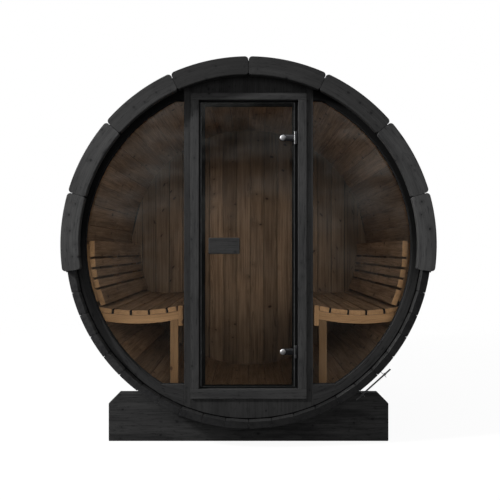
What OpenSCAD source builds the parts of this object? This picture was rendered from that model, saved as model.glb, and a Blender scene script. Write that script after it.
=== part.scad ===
// Barrel sauna: a lying barrel of staves on two saddle cradles, with a glazed
// front wall, a glass door hinged on the right, two curved benches and a boarded
// back wall. Millimetres. Ground at Z = 0, front towards -Y, +X to the right.

/* [Barrel] */
// Diameter over the round outer faces of the staves
barrel_diameter = 2000; // [1900:5:2200]
// Length of every stave, along Y
barrel_length = 1800; // [1500:10:2600]
// Thickness of a stave
stave_thickness = 40; // [32:1:48]
// Number of staves round the barrel
stave_count = 48; // [40:4:56]
// Width taken off each stave at a long edge, which makes the V groove
stave_edge_width = 2.5; // [1:0.5:4]
// Depth of the V groove between two staves
stave_edge_depth = 9; // [4:0.5:11]
// Width of the tongue at its root
tongue_width = 12; // [8:0.5:14]
// How far the tongue stands out of the stave
tongue_height = 6; // [4:0.5:9]
// Depth of the croze groove that holds an end wall
croze_depth = 10; // [6:0.5:14]

/* [Cradles] */
// Height of the lowest stave above the ground
barrel_lift = 122; // [80:1:180]
// Width of a cradle on the ground
cradle_width = 1610; // [1300:5:1750]
// Height of a cradle at its two horns
cradle_height = 277; // [220:1:320]
// Thickness of a cradle plank
cradle_thickness = 58; // [40:1:90]
// Distance from the stave ends to the outer face of a cradle
cradle_setback = 178; // [120:1:400]
// Size of the cut corner on a cradle horn
cradle_corner = 60; // [20:1:80]

/* [Hoops] */
// Width of a steel hoop
hoop_width = 25; // [16:1:40]
// Thickness of a steel hoop
hoop_thickness = 1.6; // [1:0.1:3]
// Distance from the stave ends to the middle of a hoop
hoop_setback = 50; // [40:1:110]
// Angle of the tensioner below the horizontal
tensioner_angle = 48; // [30:1:60]
// Diameter of the tensioner rod
rod_diameter = 8; // [6:0.5:12]
// Length of the tensioner rod
rod_length = 255; // [220:1:300]
// Distance of the rod from the staves
rod_standoff = 34; // [28:1:45]
// Distance between the two ears of a tensioner
ear_spacing = 155; // [110:1:180]
// Height of an ear
ear_height = 50; // [45:1:65]
// Thickness of an ear
ear_thickness = 4; // [3:0.5:6]
// Length of the foot of an ear along the hoop
ear_foot = 36; // [24:1:50]
// Size of a tensioner nut across its flats
nut_size = 13; // [12:0.5:19]
// Thickness of a tensioner nut
nut_thickness = 7; // [5:0.5:12]

/* [Roof] */
// Thickness of the roof covering
roof_thickness = 6; // [4:0.5:12]
// Angle of the roof covering's lower edges below the horizontal
roof_drop = 8.4; // [0:0.1:14]

/* [Fascia] */
// Number of curved fascia boards on one end
fascia_count = 8; // [6:1:10]
// Width of a fascia board
fascia_width = 100; // [85:1:120]
// Thickness of a fascia board
fascia_thickness = 40; // [28:1:50]
// How far a fascia board stands above the staves
fascia_overlap = 18; // [14:0.5:30]
// How far the ring of fascia boards is lifted above the barrel's axis
fascia_rise = 7; // [0:0.5:10]
// Gap between two fascia boards
fascia_gap = 2; // [1:0.5:6]
// Radius of the outer corners of a fascia board
fascia_outer_round = 19; // [8:1:24]
// Radius of the inner corners of a fascia board
fascia_inner_round = 8; // [4:1:14]

/* [Front wall] */
// Depth of an end wall behind the stave ends
wall_recess = 50; // [30:1:70]
// Thickness of an end wall
wall_thickness = 45; // [38:1:55]
// Width of the round frame that shows around the glass
ring_width = 53; // [40:1:70]
// Height from the glass's flat top edge to the inside of the top stave
glass_top_drop = 151; // [130:1:180]
// Height from the inside of the bottom stave to the glass's flat bottom edge
glass_bottom_rise = 191; // [165:1:220]
// Distance from the middle to the outer edge of a post
post_outer = 358; // [350:1:400]
// Width of a post
post_width = 37; // [30:1:46]
// Thickness of the window glass
pane_thickness = 8; // [6:0.5:10]
// Depth of the groove that holds the window glass
pane_groove = 14; // [8:1:18]

/* [Doorway] */
// Width of a door jamb
jamb_width = 46; // [38:1:50]
// How far the door frame stands in front of the wall
frame_proud = 14; // [4:1:20]
// Height from the doorway's top to the inside of the top stave
doorway_drop = 152; // [140:1:200]
// Height from the inside of the bottom stave to the doorway's bottom
doorway_rise = 168; // [155:1:220]
// Height of the door head
head_height = 37; // [30:1:50]
// Height of the door sill
sill_height = 53; // [35:1:60]
// Width of the stop bead at the sides of the doorway
stop_width = 32; // [26:1:36]
// Height of the stop bead at the top of the doorway
stop_top = 28; // [20:1:36]
// Height of the stop bead at the bottom of the doorway
stop_bottom = 15; // [13:1:24]
// Thickness of the stop bead
stop_thickness = 15; // [12:1:18]

/* [Door] */
// Thickness of the door glass
door_thickness = 8; // [6:0.5:10]
// Depth of the door glass behind the front of the door frame
door_setback = 26; // [22:0.5:28]
// Gap beside the door glass on the handle side
door_gap_free = 13; // [6:0.5:16]
// Gap beside the door glass on the hinge side
door_gap_hinge = 23; // [22:0.5:26]
// Gap above the door glass
door_gap_top = 11; // [6:0.5:14]
// Gap below the door glass
door_gap_bottom = 7; // [6:0.5:10]
// Distance from the top and the bottom of the door glass to the middle of a hinge
hinge_inset = 197; // [120:1:300]
// Diameter of a hinge knuckle
knuckle_diameter = 12; // [10:0.5:13]
// Height of the moving knuckle
knuckle_height = 34; // [26:1:44]
// Height of each fixed knuckle
knuckle_end = 17; // [12:1:22]
// Diameter of the hinge pin
pin_diameter = 5; // [4:0.5:6]
// Length of the hinge arm on the glass
arm_length = 68; // [55:1:80]
// Thickness of the hinge arm
arm_thickness = 5; // [4:0.5:6]
// Diameter of the round hinge button
button_diameter = 28; // [22:1:34]
// Thickness of the round hinge button
button_thickness = 7; // [4:0.5:10]
// Width of the handle plate
handle_width = 172; // [120:1:200]
// Height of the handle plate
handle_height = 90; // [60:1:110]
// Thickness of the handle plate
handle_thickness = 20; // [14:0.5:26]
// Depth of the block between the handle plate and the glass
handle_block = 14; // [10:0.5:20]
// Overhang of the handle plate past its block
handle_lip = 20; // [12:1:26]
// Distance of the handle from the middle of the doorway
handle_offset = 135; // [110:1:150]

/* [Back wall] */
// Width of a back wall board
board_width = 110.5; // [90:0.5:130]
// Sideways shift of the back wall's board joints
board_shift = 14; // [0:1:40]
// Chamfer on the long edges of a back wall board
board_chamfer = 4; // [2:0.5:8]

/* [Benches] */
// Depth of the benches' front ends behind the stave ends
bench_setback = 180; // [150:1:300]
// Height of the seat's lowest line above the inside of the bottom stave
seat_height = 590; // [520:1:640]
// Distance from the seat's lowest line to the inner face of the edge board
seat_reach = 269; // [230:1:290]
// Gap between the outer slat and the staves
seat_gap = 3; // [2:0.5:20]
// Radius of the seat's hollow
seat_radius = 1101; // [900:1:1600]
// Thickness of a seat slat
slat_thickness = 28; // [22:1:34]
// Width of a seat slat
slat_width = 92; // [84:1:96]
// Gap between two seat slats
slat_gap = 10.5; // [6:0.5:14]
// Number of seat slats
slat_count = 5; // [4:1:5]
// Width of the seat slat beside the edge board
first_slat_width = 62; // [50:1:75]
// Height of a curved seat bearer
bearer_height = 47; // [35:1:60]
// Thickness of a curved seat bearer
bearer_thickness = 36; // [28:1:46]
// Thickness of the edge board
edge_thickness = 26; // [20:1:32]
// Height of the edge board
edge_height = 117; // [95:1:140]
// Width of a square bench leg
leg_width = 46; // [36:1:60]

/* [Backrests] */
// Depth of a backrest batten between the staves and the boards
batten_depth = 43; // [24:1:60]
// Thickness of a backrest board
backrest_thickness = 30; // [20:1:34]
// Width of the lowest and the highest backrest board
backrest_wide = 93; // [80:1:110]
// Width of the three boards between them
backrest_narrow = 48; // [40:1:56]
// Gap between two backrest boards
backrest_gap = 11; // [6:0.5:16]
// Width of a backrest batten
batten_width = 44; // [30:1:60]

/* [Hidden] */

$fn = 144;
stain = [0.17, 0.17, 0.17];
brown = [0.42, 0.28, 0.18];
honey = [0.55, 0.38, 0.24];
steel = [0.72, 0.72, 0.73];
smoke = [0.22, 0.22, 0.23];
felt = [0.13, 0.13, 0.14];

seat = 0.3;
play = 0.4;
big = 3000;

outer_r = barrel_diameter / 2;
inner_r = outer_r - stave_thickness;
axis_z = outer_r + barrel_lift;
half_length = barrel_length / 2;
stave_angle = 360 / stave_count;
stave_middle = (outer_r + inner_r) / 2;
tongue_tip = tongue_width - 4;
quarter = stave_count / 4;

hoop_inner = outer_r + seat;
hoop_outer = hoop_inner + hoop_thickness;
rod_r = outer_r + rod_standoff;
ear_angle = atan(ear_spacing / 2 / rod_r);
roof_inner = hoop_outer + seat;
roof_outer = roof_inner + roof_thickness;

fascia_outer = outer_r + fascia_overlap;
fascia_inner = fascia_outer - fascia_width;
fascia_angle = (180 + 2 * roof_drop) / fascia_count;
corner_steps = 6;

wall_r = inner_r + croze_depth - play;
wall_front = -half_length + wall_recess;
wall_back = wall_front + wall_thickness;
pane_r = inner_r - ring_width;
glass_top = inner_r - glass_top_drop;
glass_bottom = inner_r - glass_bottom_rise;
doorway_top = inner_r - doorway_drop;
doorway_bottom = inner_r - doorway_rise;
pane_front = (wall_front + wall_back - pane_thickness) / 2;
post_inner = post_outer - post_width;
doorway_half = post_inner - jamb_width;
frame_front = wall_front - frame_proud;
head_top = doorway_top + head_height;
sill_low = doorway_bottom + sill_height;
stop_front = wall_back - stop_thickness;

door_front = frame_front + door_setback;
door_back = door_front + door_thickness;
door_left = -doorway_half + door_gap_free;
door_right = doorway_half - door_gap_hinge;
door_high = doorway_top - door_gap_top;
door_low = doorway_bottom - door_gap_bottom;
knuckle_r = knuckle_diameter / 2;
hinge_x = door_right + knuckle_r;
hinge_y = door_front - knuckle_r - 1;
hinge_levels = [door_high - hinge_inset, -door_low + hinge_inset];

slat_pitch = slat_width + slat_gap;
first_slat_reach = -seat_reach + edge_thickness + play + first_slat_width;
last_slat_reach = slat_reach(slat_count - 1);
last_slat_lean = asin(last_slat_reach / seat_radius);
seat_depth = inner_r - seat_height;
seat_centre = seat_radius - seat_depth;
seat_rim_rise = seat_radius * (1 - cos(last_slat_lean)) + slat_width / 2 * sin(last_slat_lean);
seat_rim_reach = last_slat_reach + slat_width / 2 * cos(last_slat_lean);
seat_under_depth = seat_depth - seat_rim_rise + slat_thickness * cos(last_slat_lean);
seat_under_reach = seat_rim_reach + slat_thickness * sin(last_slat_lean);
seat_middle = sqrt(pow(inner_r - seat_gap, 2) - pow(seat_under_depth, 2)) - seat_under_reach;
edge_inner = seat_middle - seat_reach;
edge_outer = edge_inner + edge_thickness;
bearer_top = norm([seat_radius + slat_thickness, slat_width / 2]) + seat;
bearer_low = bearer_top + bearer_height;
bench_front = -half_length + bench_setback;
bench_back = half_length - wall_recess - wall_thickness - 2;
bench_length = bench_back - bench_front;
bearer_y = [bench_front, (bench_front + bench_back - bearer_thickness) / 2,
    bench_back - bearer_thickness];
leg_y = [bench_front, (bench_front + bench_back - leg_width) / 2, bench_back - leg_width];

batten_inner = inner_r - batten_depth;
backrest_outer = sqrt(pow(batten_inner - seat, 2) - pow(backrest_wide / 2, 2));
backrest_radius = backrest_outer - backrest_thickness;
backrest_widths = [backrest_wide, backrest_narrow, backrest_narrow, backrest_narrow,
    backrest_wide];
backrest_low = asin((seat_depth - seat_rim_rise - 2) / (batten_inner - seat))
    - atan(backrest_wide / 2 / backrest_outer);
batten_y = [bench_front + 30, (bench_front + bench_back - batten_width) / 2,
    bench_back - 30 - batten_width];

// Points on a rounded corner whose centre lies at a distance and a turn from +Z
function corner_points(distance, turn, r, from, to) = [
    for (k = [0 : corner_steps])
        let (t = from + (to - from) * k / corner_steps)
            distance * [sin(turn), cos(turn)] + r * [sin(t), cos(t)]
];

// Point on a stave's joint: a distance along the joint from the axis, and a distance
// past the joint
function stave_joint(along, past) = [
    along * sin(stave_angle / 2) + past * cos(stave_angle / 2),
    along * cos(stave_angle / 2) - past * sin(stave_angle / 2)
];

// Middle of a seat slat, measured from the seat's lowest line and counted from the
// edge board
function slat_reach(i) = i == 0
    ? first_slat_reach - first_slat_width / 2
    : first_slat_reach + slat_gap + slat_width / 2 + (i - 1) * slat_pitch;

// Half the angle a backrest board takes up at its inner face
function backrest_half(i) = atan(backrest_widths[i] / 2 / backrest_radius);

// Distance from the barrel's axis to the inner face of a backrest board that lies
// on the battens with both its back edges
function backrest_place(i) = sqrt(pow(batten_inner - seat, 2)
    - pow(backrest_widths[i] / 2, 2)) - backrest_thickness;

// Angle of a backrest board below the horizontal, counted from the seat
function backrest_angle(i) = i == 0
    ? backrest_low
    : backrest_angle(i - 1) - backrest_half(i - 1) - backrest_half(i)
        - backrest_gap / backrest_radius * 180 / PI;

// A flat outline in the X, Z plane about the barrel's axis, drawn out along Y
module along_y(y0, y1) {
    translate([0, y1, axis_z])
        rotate([90, 0, 0])
            linear_extrude(y1 - y0)
                children();
}

// A rectangle given by its limits
module area(x0, x1, z0, z1) {
    translate([x0, z0])
        square([x1 - x0, z1 - z0]);
}

// A ring in the plane
module ring(r_inner, r_outer) {
    difference() {
        circle(r_outer);
        circle(r_inner);
    }
}

// A wedge about +Z, open by an angle to each side
module wedge(half_angle) {
    polygon([[0, 0], [-big * tan(half_angle), big], [big * tan(half_angle), big]]);
}

// The same piece on the other end of the barrel
module rear_copy() {
    mirror([0, 1, 0])
        children();
}

// The same piece on the other side of the barrel
module left_copy() {
    mirror([1, 0, 0])
        children();
}

// Right half of a stave's outline, from the top to the inner face: the edge taken off
// outside, a tongue or a groove square to the joint, and the edge taken off inside
function stave_edge(root, tip, reach) = [
    stave_joint(outer_r + stave_edge_depth, -play / 2 - 2 * stave_edge_width),
    stave_joint(outer_r - stave_edge_depth, -play / 2),
    stave_joint(stave_middle + root / 2, -play / 2),
    stave_joint(stave_middle + tip / 2, reach),
    stave_joint(stave_middle - tip / 2, reach),
    stave_joint(stave_middle - root / 2, -play / 2),
    stave_joint(inner_r + stave_edge_depth, -play / 2),
    [inner_r * tan(stave_angle / 2) - play - stave_edge_width, inner_r]
];

// One stave at the top: round outside, flat inside, tongue on +X, groove on -X,
// and a croze groove near each end
module stave() {
    tongue = stave_edge(tongue_width, tongue_tip, tongue_height);
    groove = stave_edge(tongue_width + 2 * play, tongue_tip + 2 * play,
        -tongue_height - play);
    last = len(groove) - 1;
    difference() {
        along_y(-half_length, half_length)
            intersection() {
                circle(outer_r);
                polygon(concat(tongue,
                    [for (k = [last : -1 : 0]) [-groove[k][0], groove[k][1]]]));
            }
        along_y(wall_front - seat, wall_back + seat)
            area(-outer_r / 4, outer_r / 4, inner_r - 20, inner_r + croze_depth);
        along_y(-wall_back - seat, -wall_front + seat)
            area(-outer_r / 4, outer_r / 4, inner_r - 20, inner_r + croze_depth);
    }
}

// A quarter of the barrel, its first stave counted clockwise from the top
module stave_quarter(first) {
    for (i = [first : first + quarter - 1])
        translate([0, 0, axis_z])
            rotate([0, (i + 0.5) * stave_angle, 0])
                translate([0, 0, -axis_z])
                    stave();
}

module top_staves() {
    color(stain) stave_quarter(-quarter / 2);
}

module right_staves() {
    color(stain) stave_quarter(quarter / 2);
}

module bottom_staves() {
    color(stain) stave_quarter(3 * quarter / 2);
}

module left_staves() {
    color(stain) stave_quarter(5 * quarter / 2);
}

// A steel band round the barrel, open between the ears of its tensioner
module hoop() {
    along_y(-half_length + hoop_setback - hoop_width / 2,
            -half_length + hoop_setback + hoop_width / 2)
        difference() {
            ring(hoop_inner, hoop_outer);
            rotate(-90 - tensioner_angle)
                wedge(ear_angle);
        }
}

module front_hoop() {
    color(steel) hoop();
}

module rear_hoop() {
    color(steel) rear_copy() hoop();
}

// An angle bracket on the end of a hoop: a foot on the band and an upright ear
module ear() {
    foot_low = hoop_outer + seat;
    union() {
        translate([0, 0, foot_low])
            translate([0, -hoop_width / 2, 0])
                cube([ear_thickness, hoop_width, ear_height]);
        translate([0, -hoop_width / 2, foot_low])
            cube([ear_foot, hoop_width, ear_thickness - 1]);
    }
}

// The rod through two ears, with a nut outside each
module tensioner() {
    translate([0, -half_length + hoop_setback, axis_z])
        rotate([0, 90 + tensioner_angle, 0]) {
            difference() {
                union() {
                    rotate([0, ear_angle, 0])
                        ear();
                    mirror([1, 0, 0])
                        rotate([0, ear_angle, 0])
                            ear();
                }
                translate([-rod_length / 2, 0, rod_r])
                    rotate([0, 90, 0])
                        cylinder(d = rod_diameter + 2, h = rod_length);
            }
            translate([-rod_length / 2, 0, rod_r])
                rotate([0, 90, 0])
                    cylinder(d = rod_diameter, h = rod_length);
            tensioner_nut();
            mirror([1, 0, 0])
                tensioner_nut();
        }
}

// A hexagon nut against the outside of an ear
module tensioner_nut() {
    translate([ear_spacing / 2 + ear_thickness + 1, 0, rod_r])
        rotate([0, 90, 0])
            difference() {
                cylinder(d = nut_size / cos(30), h = nut_thickness, $fn = 6);
                translate([0, 0, -1])
                    cylinder(d = rod_diameter + seat, h = nut_thickness + 2);
            }
}

module front_tensioner() {
    color(steel) tensioner();
}

module rear_tensioner() {
    color(steel) rear_copy() tensioner();
}

// A saddle plank that stands on the ground, hollowed to the barrel
module cradle() {
    along_y(-half_length + cradle_setback,
            -half_length + cradle_setback + cradle_thickness)
        difference() {
            polygon([
                [-cradle_width / 2, -axis_z],
                [cradle_width / 2, -axis_z],
                [cradle_width / 2, -axis_z + cradle_height - cradle_corner],
                [cradle_width / 2 - cradle_corner, -axis_z + cradle_height],
                [-cradle_width / 2 + cradle_corner, -axis_z + cradle_height],
                [-cradle_width / 2, -axis_z + cradle_height - cradle_corner]
            ]);
            circle(outer_r + seat);
        }
}

module front_cradle() {
    color(stain) cradle();
}

module rear_cradle() {
    color(stain) rear_copy() cradle();
}

// The covering over the upper staves and the hoops, between the fascias
module roof_covering() {
    color(felt)
        along_y(-half_length, half_length)
            difference() {
                ring(roof_inner, roof_outer);
                rotate(180)
                    wedge(90 - roof_drop);
            }
}

// A curved board at the top: round outer and inner edges, and four rounded corners
module fascia_board() {
    half = fascia_angle / 2;
    cut = fascia_gap / 2;
    outer_turn = half - asin((fascia_outer_round + cut) / (fascia_outer - fascia_outer_round));
    inner_turn = half - asin((fascia_inner_round + cut) / (fascia_inner + fascia_inner_round));
    outer = corner_points(fascia_outer - fascia_outer_round, outer_turn,
        fascia_outer_round, outer_turn, half + 90);
    inner = corner_points(fascia_inner + fascia_inner_round, inner_turn,
        fascia_inner_round, half + 90, inner_turn + 180);
    n = corner_steps;
    end = concat(
        [outer[0] + 3 * (outer[0] - outer[1])],
        [for (k = [1 : n]) outer[k]],
        [for (k = [0 : n - 1]) inner[k]],
        [inner[n] + 3 * (inner[n] - inner[n - 1])]);
    last = len(end) - 1;
    intersection() {
        ring(fascia_inner, fascia_outer);
        polygon(concat([[0, 1.1 * fascia_outer]], end,
            [for (k = [last : -1 : 0]) [-end[k][0], end[k][1]]]));
    }
}

// The row of curved boards that covers the stave ends over the upper half
module fascia() {
    for (i = [0 : fascia_count - 1])
        along_y(-half_length - fascia_thickness, -half_length)
            translate([0, fascia_rise])
                rotate((i - (fascia_count - 1) / 2) * fascia_angle)
                    fascia_board();
}

module front_fascia() {
    color(stain) fascia();
}

module rear_fascia() {
    color(stain) rear_copy() fascia();
}

// Outline of a window pane on the right, grown or shrunk by an edge
module pane_outline(edge) {
    intersection() {
        circle(pane_r + edge);
        area(post_outer - edge, big, -glass_bottom - edge, glass_top + edge);
    }
}

// The groove that holds the window glass on the right
module pane_slot() {
    along_y(pane_front - play, pane_front + pane_thickness + play)
        pane_outline(pane_groove);
}

// An upright from the barrel's bottom to its top beside the door frame
module post() {
    difference() {
        along_y(wall_front, wall_back)
            intersection() {
                circle(wall_r);
                area(post_inner, post_outer, -big, big);
            }
        pane_slot();
    }
}

module left_post() {
    color(stain) left_copy() post();
}

module right_post() {
    color(stain) post();
}

// The board that fills the round above the door frame
module header_panel() {
    color(stain)
        along_y(wall_front, wall_back)
            intersection() {
                circle(wall_r);
                area(-post_inner + seat, post_inner - seat, head_top, big);
            }
}

// The board that fills the round below the door frame
module sill_panel() {
    color(stain)
        along_y(wall_front, wall_back)
            intersection() {
                circle(wall_r);
                area(-post_inner + seat, post_inner - seat, -big, -sill_low);
            }
}

// The round frame that carries a window on three sides
module glass_frame() {
    difference() {
        along_y(wall_front, wall_back)
            difference() {
                intersection() {
                    circle(wall_r);
                    area(post_outer + seat, big, -big, big);
                }
                pane_outline(0);
            }
        pane_slot();
    }
}

module left_glass_frame() {
    color(stain) left_copy() glass_frame();
}

module right_glass_frame() {
    color(stain) glass_frame();
}

// A tinted pane in its groove
module window() {
    along_y(pane_front, pane_front + pane_thickness)
        pane_outline(pane_groove - play);
}

module left_window() {
    color(smoke, 0.5) left_copy() window();
}

module right_window() {
    color(smoke, 0.5) window();
}

// An upright of the door frame
module jamb() {
    along_y(frame_front, wall_back)
        area(doorway_half, post_inner - seat, -doorway_bottom, doorway_top);
}

module left_jamb() {
    color(stain) left_copy() jamb();
}

module right_jamb() {
    color(stain) jamb();
}

module door_head() {
    color(stain)
        along_y(frame_front, wall_back)
            area(-post_inner + seat, post_inner - seat, doorway_top, head_top);
}

module door_sill() {
    color(stain)
        along_y(frame_front, wall_back)
            area(-post_inner + seat, post_inner - seat, -sill_low, -doorway_bottom);
}

// Four beads behind the door glass
module door_stops() {
    color(stain) {
        for (s = [-1, 1])
            along_y(stop_front, wall_back)
                area(s < 0 ? -doorway_half : doorway_half - stop_width,
                     s < 0 ? -doorway_half + stop_width : doorway_half,
                     -doorway_bottom, doorway_top);
        along_y(stop_front, wall_back)
            area(-doorway_half + stop_width + seat, doorway_half - stop_width - seat,
                 doorway_top - stop_top, doorway_top);
        along_y(stop_front, wall_back)
            area(-doorway_half + stop_width + seat, doorway_half - stop_width - seat,
                 -doorway_bottom, -doorway_bottom + stop_bottom);
    }
}

// Two fixed hinge leaves on the right jamb, each with two knuckles and a pin
module hinge_plates() {
    total = knuckle_height + 2 * knuckle_end + 2;
    color(steel)
        for (z = hinge_levels)
            translate([0, 0, axis_z + z])
                union() {
                    translate([hinge_x + knuckle_r + 1, hinge_y - knuckle_r, -total / 2])
                        cube([doorway_half - hinge_x - knuckle_r - 1, 2 * knuckle_r, total]);
                    for (s = [-1, 1])
                        translate([hinge_x, hinge_y,
                                   s * (total - knuckle_end) / 2 - knuckle_end / 2]) {
                            cylinder(r = knuckle_r, h = knuckle_end);
                            translate([0, -knuckle_r, 0])
                                cube([knuckle_r + 2, 2 * knuckle_r, knuckle_end]);
                        }
                    translate([hinge_x, hinge_y, -total / 2])
                        cylinder(d = pin_diameter, h = total);
                }
}

// A board of the back wall, with both long edges chamfered
module back_board(x0, x1) {
    intersection() {
        translate([0, 0, axis_z])
            linear_extrude(2 * wall_r, center = true)
                polygon([
                    [x0, -wall_front - board_chamfer],
                    [x0 + board_chamfer, -wall_front],
                    [x1 - board_chamfer, -wall_front],
                    [x1, -wall_front - board_chamfer],
                    [x1, -wall_back + board_chamfer],
                    [x1 - board_chamfer, -wall_back],
                    [x0 + board_chamfer, -wall_back],
                    [x0, -wall_back + board_chamfer]
                ]);
        along_y(-wall_back - 1, -wall_front + 1)
            circle(wall_r);
    }
}

// Upright boards side by side that close the back of the barrel
module back_wall() {
    side = ceil((wall_r + board_shift) / board_width);
    color(brown)
        for (i = [-side : side])
            let (x0 = max(board_shift + i * board_width + seat / 2, -wall_r),
                 x1 = min(board_shift + (i + 1) * board_width - seat / 2, wall_r))
                if (x1 - x0 > 3 * board_chamfer)
                    back_board(x0, x1);
}

// A slat square to the seat's hollow
module seat_slat(i) {
    w = i == 0 ? first_slat_width : slat_width;
    lean = asin(slat_reach(i) / seat_radius);
    translate([seat_middle, bench_front, axis_z + seat_centre])
        rotate([0, -lean, 0])
            translate([-w / 2, 0, -seat_radius - slat_thickness])
                cube([w, bench_length, slat_thickness]);
}

// Seat slats laid to a shallow hollow, the first one bevelled against the edge board
module seat_slats() {
    intersection() {
        seat_slat(0);
        along_y(bench_front - 1, bench_back + 1)
            area(edge_outer + seat, seat_middle, -inner_r, 0);
    }
    for (i = [1 : slat_count - 1])
        seat_slat(i);
}

module left_seat_slats() {
    color(honey) left_copy() seat_slats();
}

module right_seat_slats() {
    color(honey) seat_slats();
}

// Curved bearers under the slats, from the edge board to the staves
module seat_bearers() {
    for (y = bearer_y)
        along_y(y, y + bearer_thickness)
            intersection() {
                circle(inner_r - seat);
                translate([seat_middle, seat_centre])
                    ring(bearer_top, bearer_low);
                area(edge_outer + seat, big, -inner_r, 0);
            }
}

module left_seat_bearers() {
    color(honey) left_copy() seat_bearers();
}

module right_seat_bearers() {
    color(honey) seat_bearers();
}

// The board along the front of a seat
module seat_edge() {
    top = seat_centre - sqrt(pow(seat_radius, 2) - pow(seat_middle - edge_inner, 2)) - 5;
    along_y(bench_front, bench_back)
        area(edge_inner, edge_outer, top - edge_height, top);
}

module left_seat_edge() {
    color(honey) left_copy() seat_edge();
}

module right_seat_edge() {
    color(honey) seat_edge();
}

// Legs under the bearers, cut to the staves they stand on
module seat_legs() {
    for (y = leg_y)
        along_y(y, y + leg_width)
            difference() {
                intersection() {
                    circle(inner_r - seat);
                    area(edge_outer + seat, edge_outer + seat + leg_width, -inner_r, 0);
                }
                translate([seat_middle, seat_centre])
                    circle(bearer_low + seat);
            }
}

module left_seat_legs() {
    color(honey) left_copy() seat_legs();
}

module right_seat_legs() {
    color(honey) seat_legs();
}

// Boards to lean on, each square to the barrel's radius
module backrest() {
    for (i = [0 : 4])
        translate([0, 0, axis_z])
            rotate([0, backrest_angle(i), 0])
                translate([backrest_place(i), bench_front, -backrest_widths[i] / 2])
                    cube([backrest_thickness, bench_length, backrest_widths[i]]);
}

module left_backrest() {
    color(honey) left_copy() backrest();
}

module right_backrest() {
    color(honey) backrest();
}

// Curved battens between the staves and the backrest
module backrest_battens() {
    low = backrest_angle(0) + 1;
    high = backrest_angle(4) - 2;
    for (y = batten_y)
        along_y(y, y + batten_width)
            intersection() {
                ring(batten_inner, inner_r - seat);
                rotate(-90 - (low + high) / 2)
                    wedge((low - high) / 2);
            }
}

module left_backrest_battens() {
    color(honey) left_copy() backrest_battens();
}

module right_backrest_battens() {
    color(honey) backrest_battens();
}

// The tinted door leaf
module door_glass() {
    color(smoke, 0.5)
        along_y(door_front, door_back)
            area(door_left, door_right, -door_low, door_high);
}

// Two moving hinge leaves: a knuckle, an arm over the glass, a round button in
// front and a round plate behind
module hinge_arms() {
    color(steel)
        for (z = hinge_levels)
            translate([0, 0, axis_z + z]) {
                difference() {
                    union() {
                        translate([hinge_x, hinge_y, -knuckle_height / 2])
                            cylinder(r = knuckle_r, h = knuckle_height);
                        translate([hinge_x - arm_length, door_front - seat - arm_thickness,
                                   -knuckle_height / 2])
                            cube([arm_length - knuckle_r / 2, arm_thickness, knuckle_height]);
                        translate([hinge_x - arm_length, door_front - seat, 0])
                            rotate([90, 0, 0])
                                cylinder(d = button_diameter,
                                         h = arm_thickness + button_thickness);
                    }
                    translate([hinge_x, hinge_y, -knuckle_height])
                        cylinder(d = pin_diameter + 0.1, h = 2 * knuckle_height);
                }
                translate([hinge_x - arm_length, door_back + seat + arm_thickness, 0])
                    rotate([90, 0, 0])
                        cylinder(d = button_diameter, h = arm_thickness);
            }
}

// A plate on a smaller block, so that fingers reach behind its edge
module handle(face, side) {
    translate([-handle_offset, face, axis_z])
        union() {
            translate([-handle_width / 2,
                       side > 0 ? handle_block : -handle_block - handle_thickness,
                       -handle_height / 2])
                cube([handle_width, handle_thickness, handle_height]);
            translate([-handle_width / 2 + handle_lip,
                       side > 0 ? 0 : -handle_block,
                       -handle_height / 2 + handle_lip])
                cube([handle_width - 2 * handle_lip, handle_block,
                      handle_height - 2 * handle_lip]);
        }
}

module outside_handle() {
    color(stain) handle(door_front, -1);
}

module inside_handle() {
    color(stain) handle(door_back, 1);
}

top_staves();
right_staves();
bottom_staves();
left_staves();
front_hoop();
rear_hoop();
front_tensioner();
rear_tensioner();
front_cradle();
rear_cradle();
roof_covering();
front_fascia();
rear_fascia();
left_post();
right_post();
header_panel();
sill_panel();
left_glass_frame();
right_glass_frame();
left_window();
right_window();
left_jamb();
right_jamb();
door_head();
door_sill();
door_stops();
hinge_plates();
back_wall();
left_seat_slats();
left_seat_bearers();
left_seat_edge();
left_seat_legs();
left_backrest();
left_backrest_battens();
right_seat_slats();
right_seat_bearers();
right_seat_edge();
right_seat_legs();
right_backrest();
right_backrest_battens();
door_glass();
hinge_arms();
outside_handle();
inside_handle();
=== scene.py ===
import bpy
import numpy as np
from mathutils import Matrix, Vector


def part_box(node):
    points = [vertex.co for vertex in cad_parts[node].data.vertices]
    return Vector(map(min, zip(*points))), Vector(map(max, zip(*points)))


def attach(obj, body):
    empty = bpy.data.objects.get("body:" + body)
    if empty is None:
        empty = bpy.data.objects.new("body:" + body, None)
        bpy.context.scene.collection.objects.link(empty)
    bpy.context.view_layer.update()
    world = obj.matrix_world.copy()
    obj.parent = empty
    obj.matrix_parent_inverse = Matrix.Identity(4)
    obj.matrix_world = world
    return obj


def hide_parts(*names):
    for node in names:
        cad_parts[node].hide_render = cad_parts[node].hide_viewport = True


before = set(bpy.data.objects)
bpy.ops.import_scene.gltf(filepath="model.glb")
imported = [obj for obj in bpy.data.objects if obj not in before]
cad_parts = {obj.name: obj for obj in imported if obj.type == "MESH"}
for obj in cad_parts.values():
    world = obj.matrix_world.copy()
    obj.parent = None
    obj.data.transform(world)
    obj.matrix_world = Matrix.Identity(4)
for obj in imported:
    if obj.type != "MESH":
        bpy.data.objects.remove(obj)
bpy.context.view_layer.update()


# Saddle cradles: two pine planks that stand on the ground across the barrel.
# Each is sawn to the barrel's curve, has its horns' corners cut off and every arris
# eased with a plane, and is brushed with a blotchy coat of the outside's charcoal stain.
axis_height = 1.122
barrel_radius = 1.0
seat_gap = 0.0003
cradle_corner = 0.06
cradle_arris = 0.004
cradle_tone = 0.28
stain_pale = (0.0305, 0.0303, 0.0302, 1)
stain_dark = (0.0075, 0.0075, 0.0078, 1)
stain_knot = (0.003, 0.003, 0.0034, 1)
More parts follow.
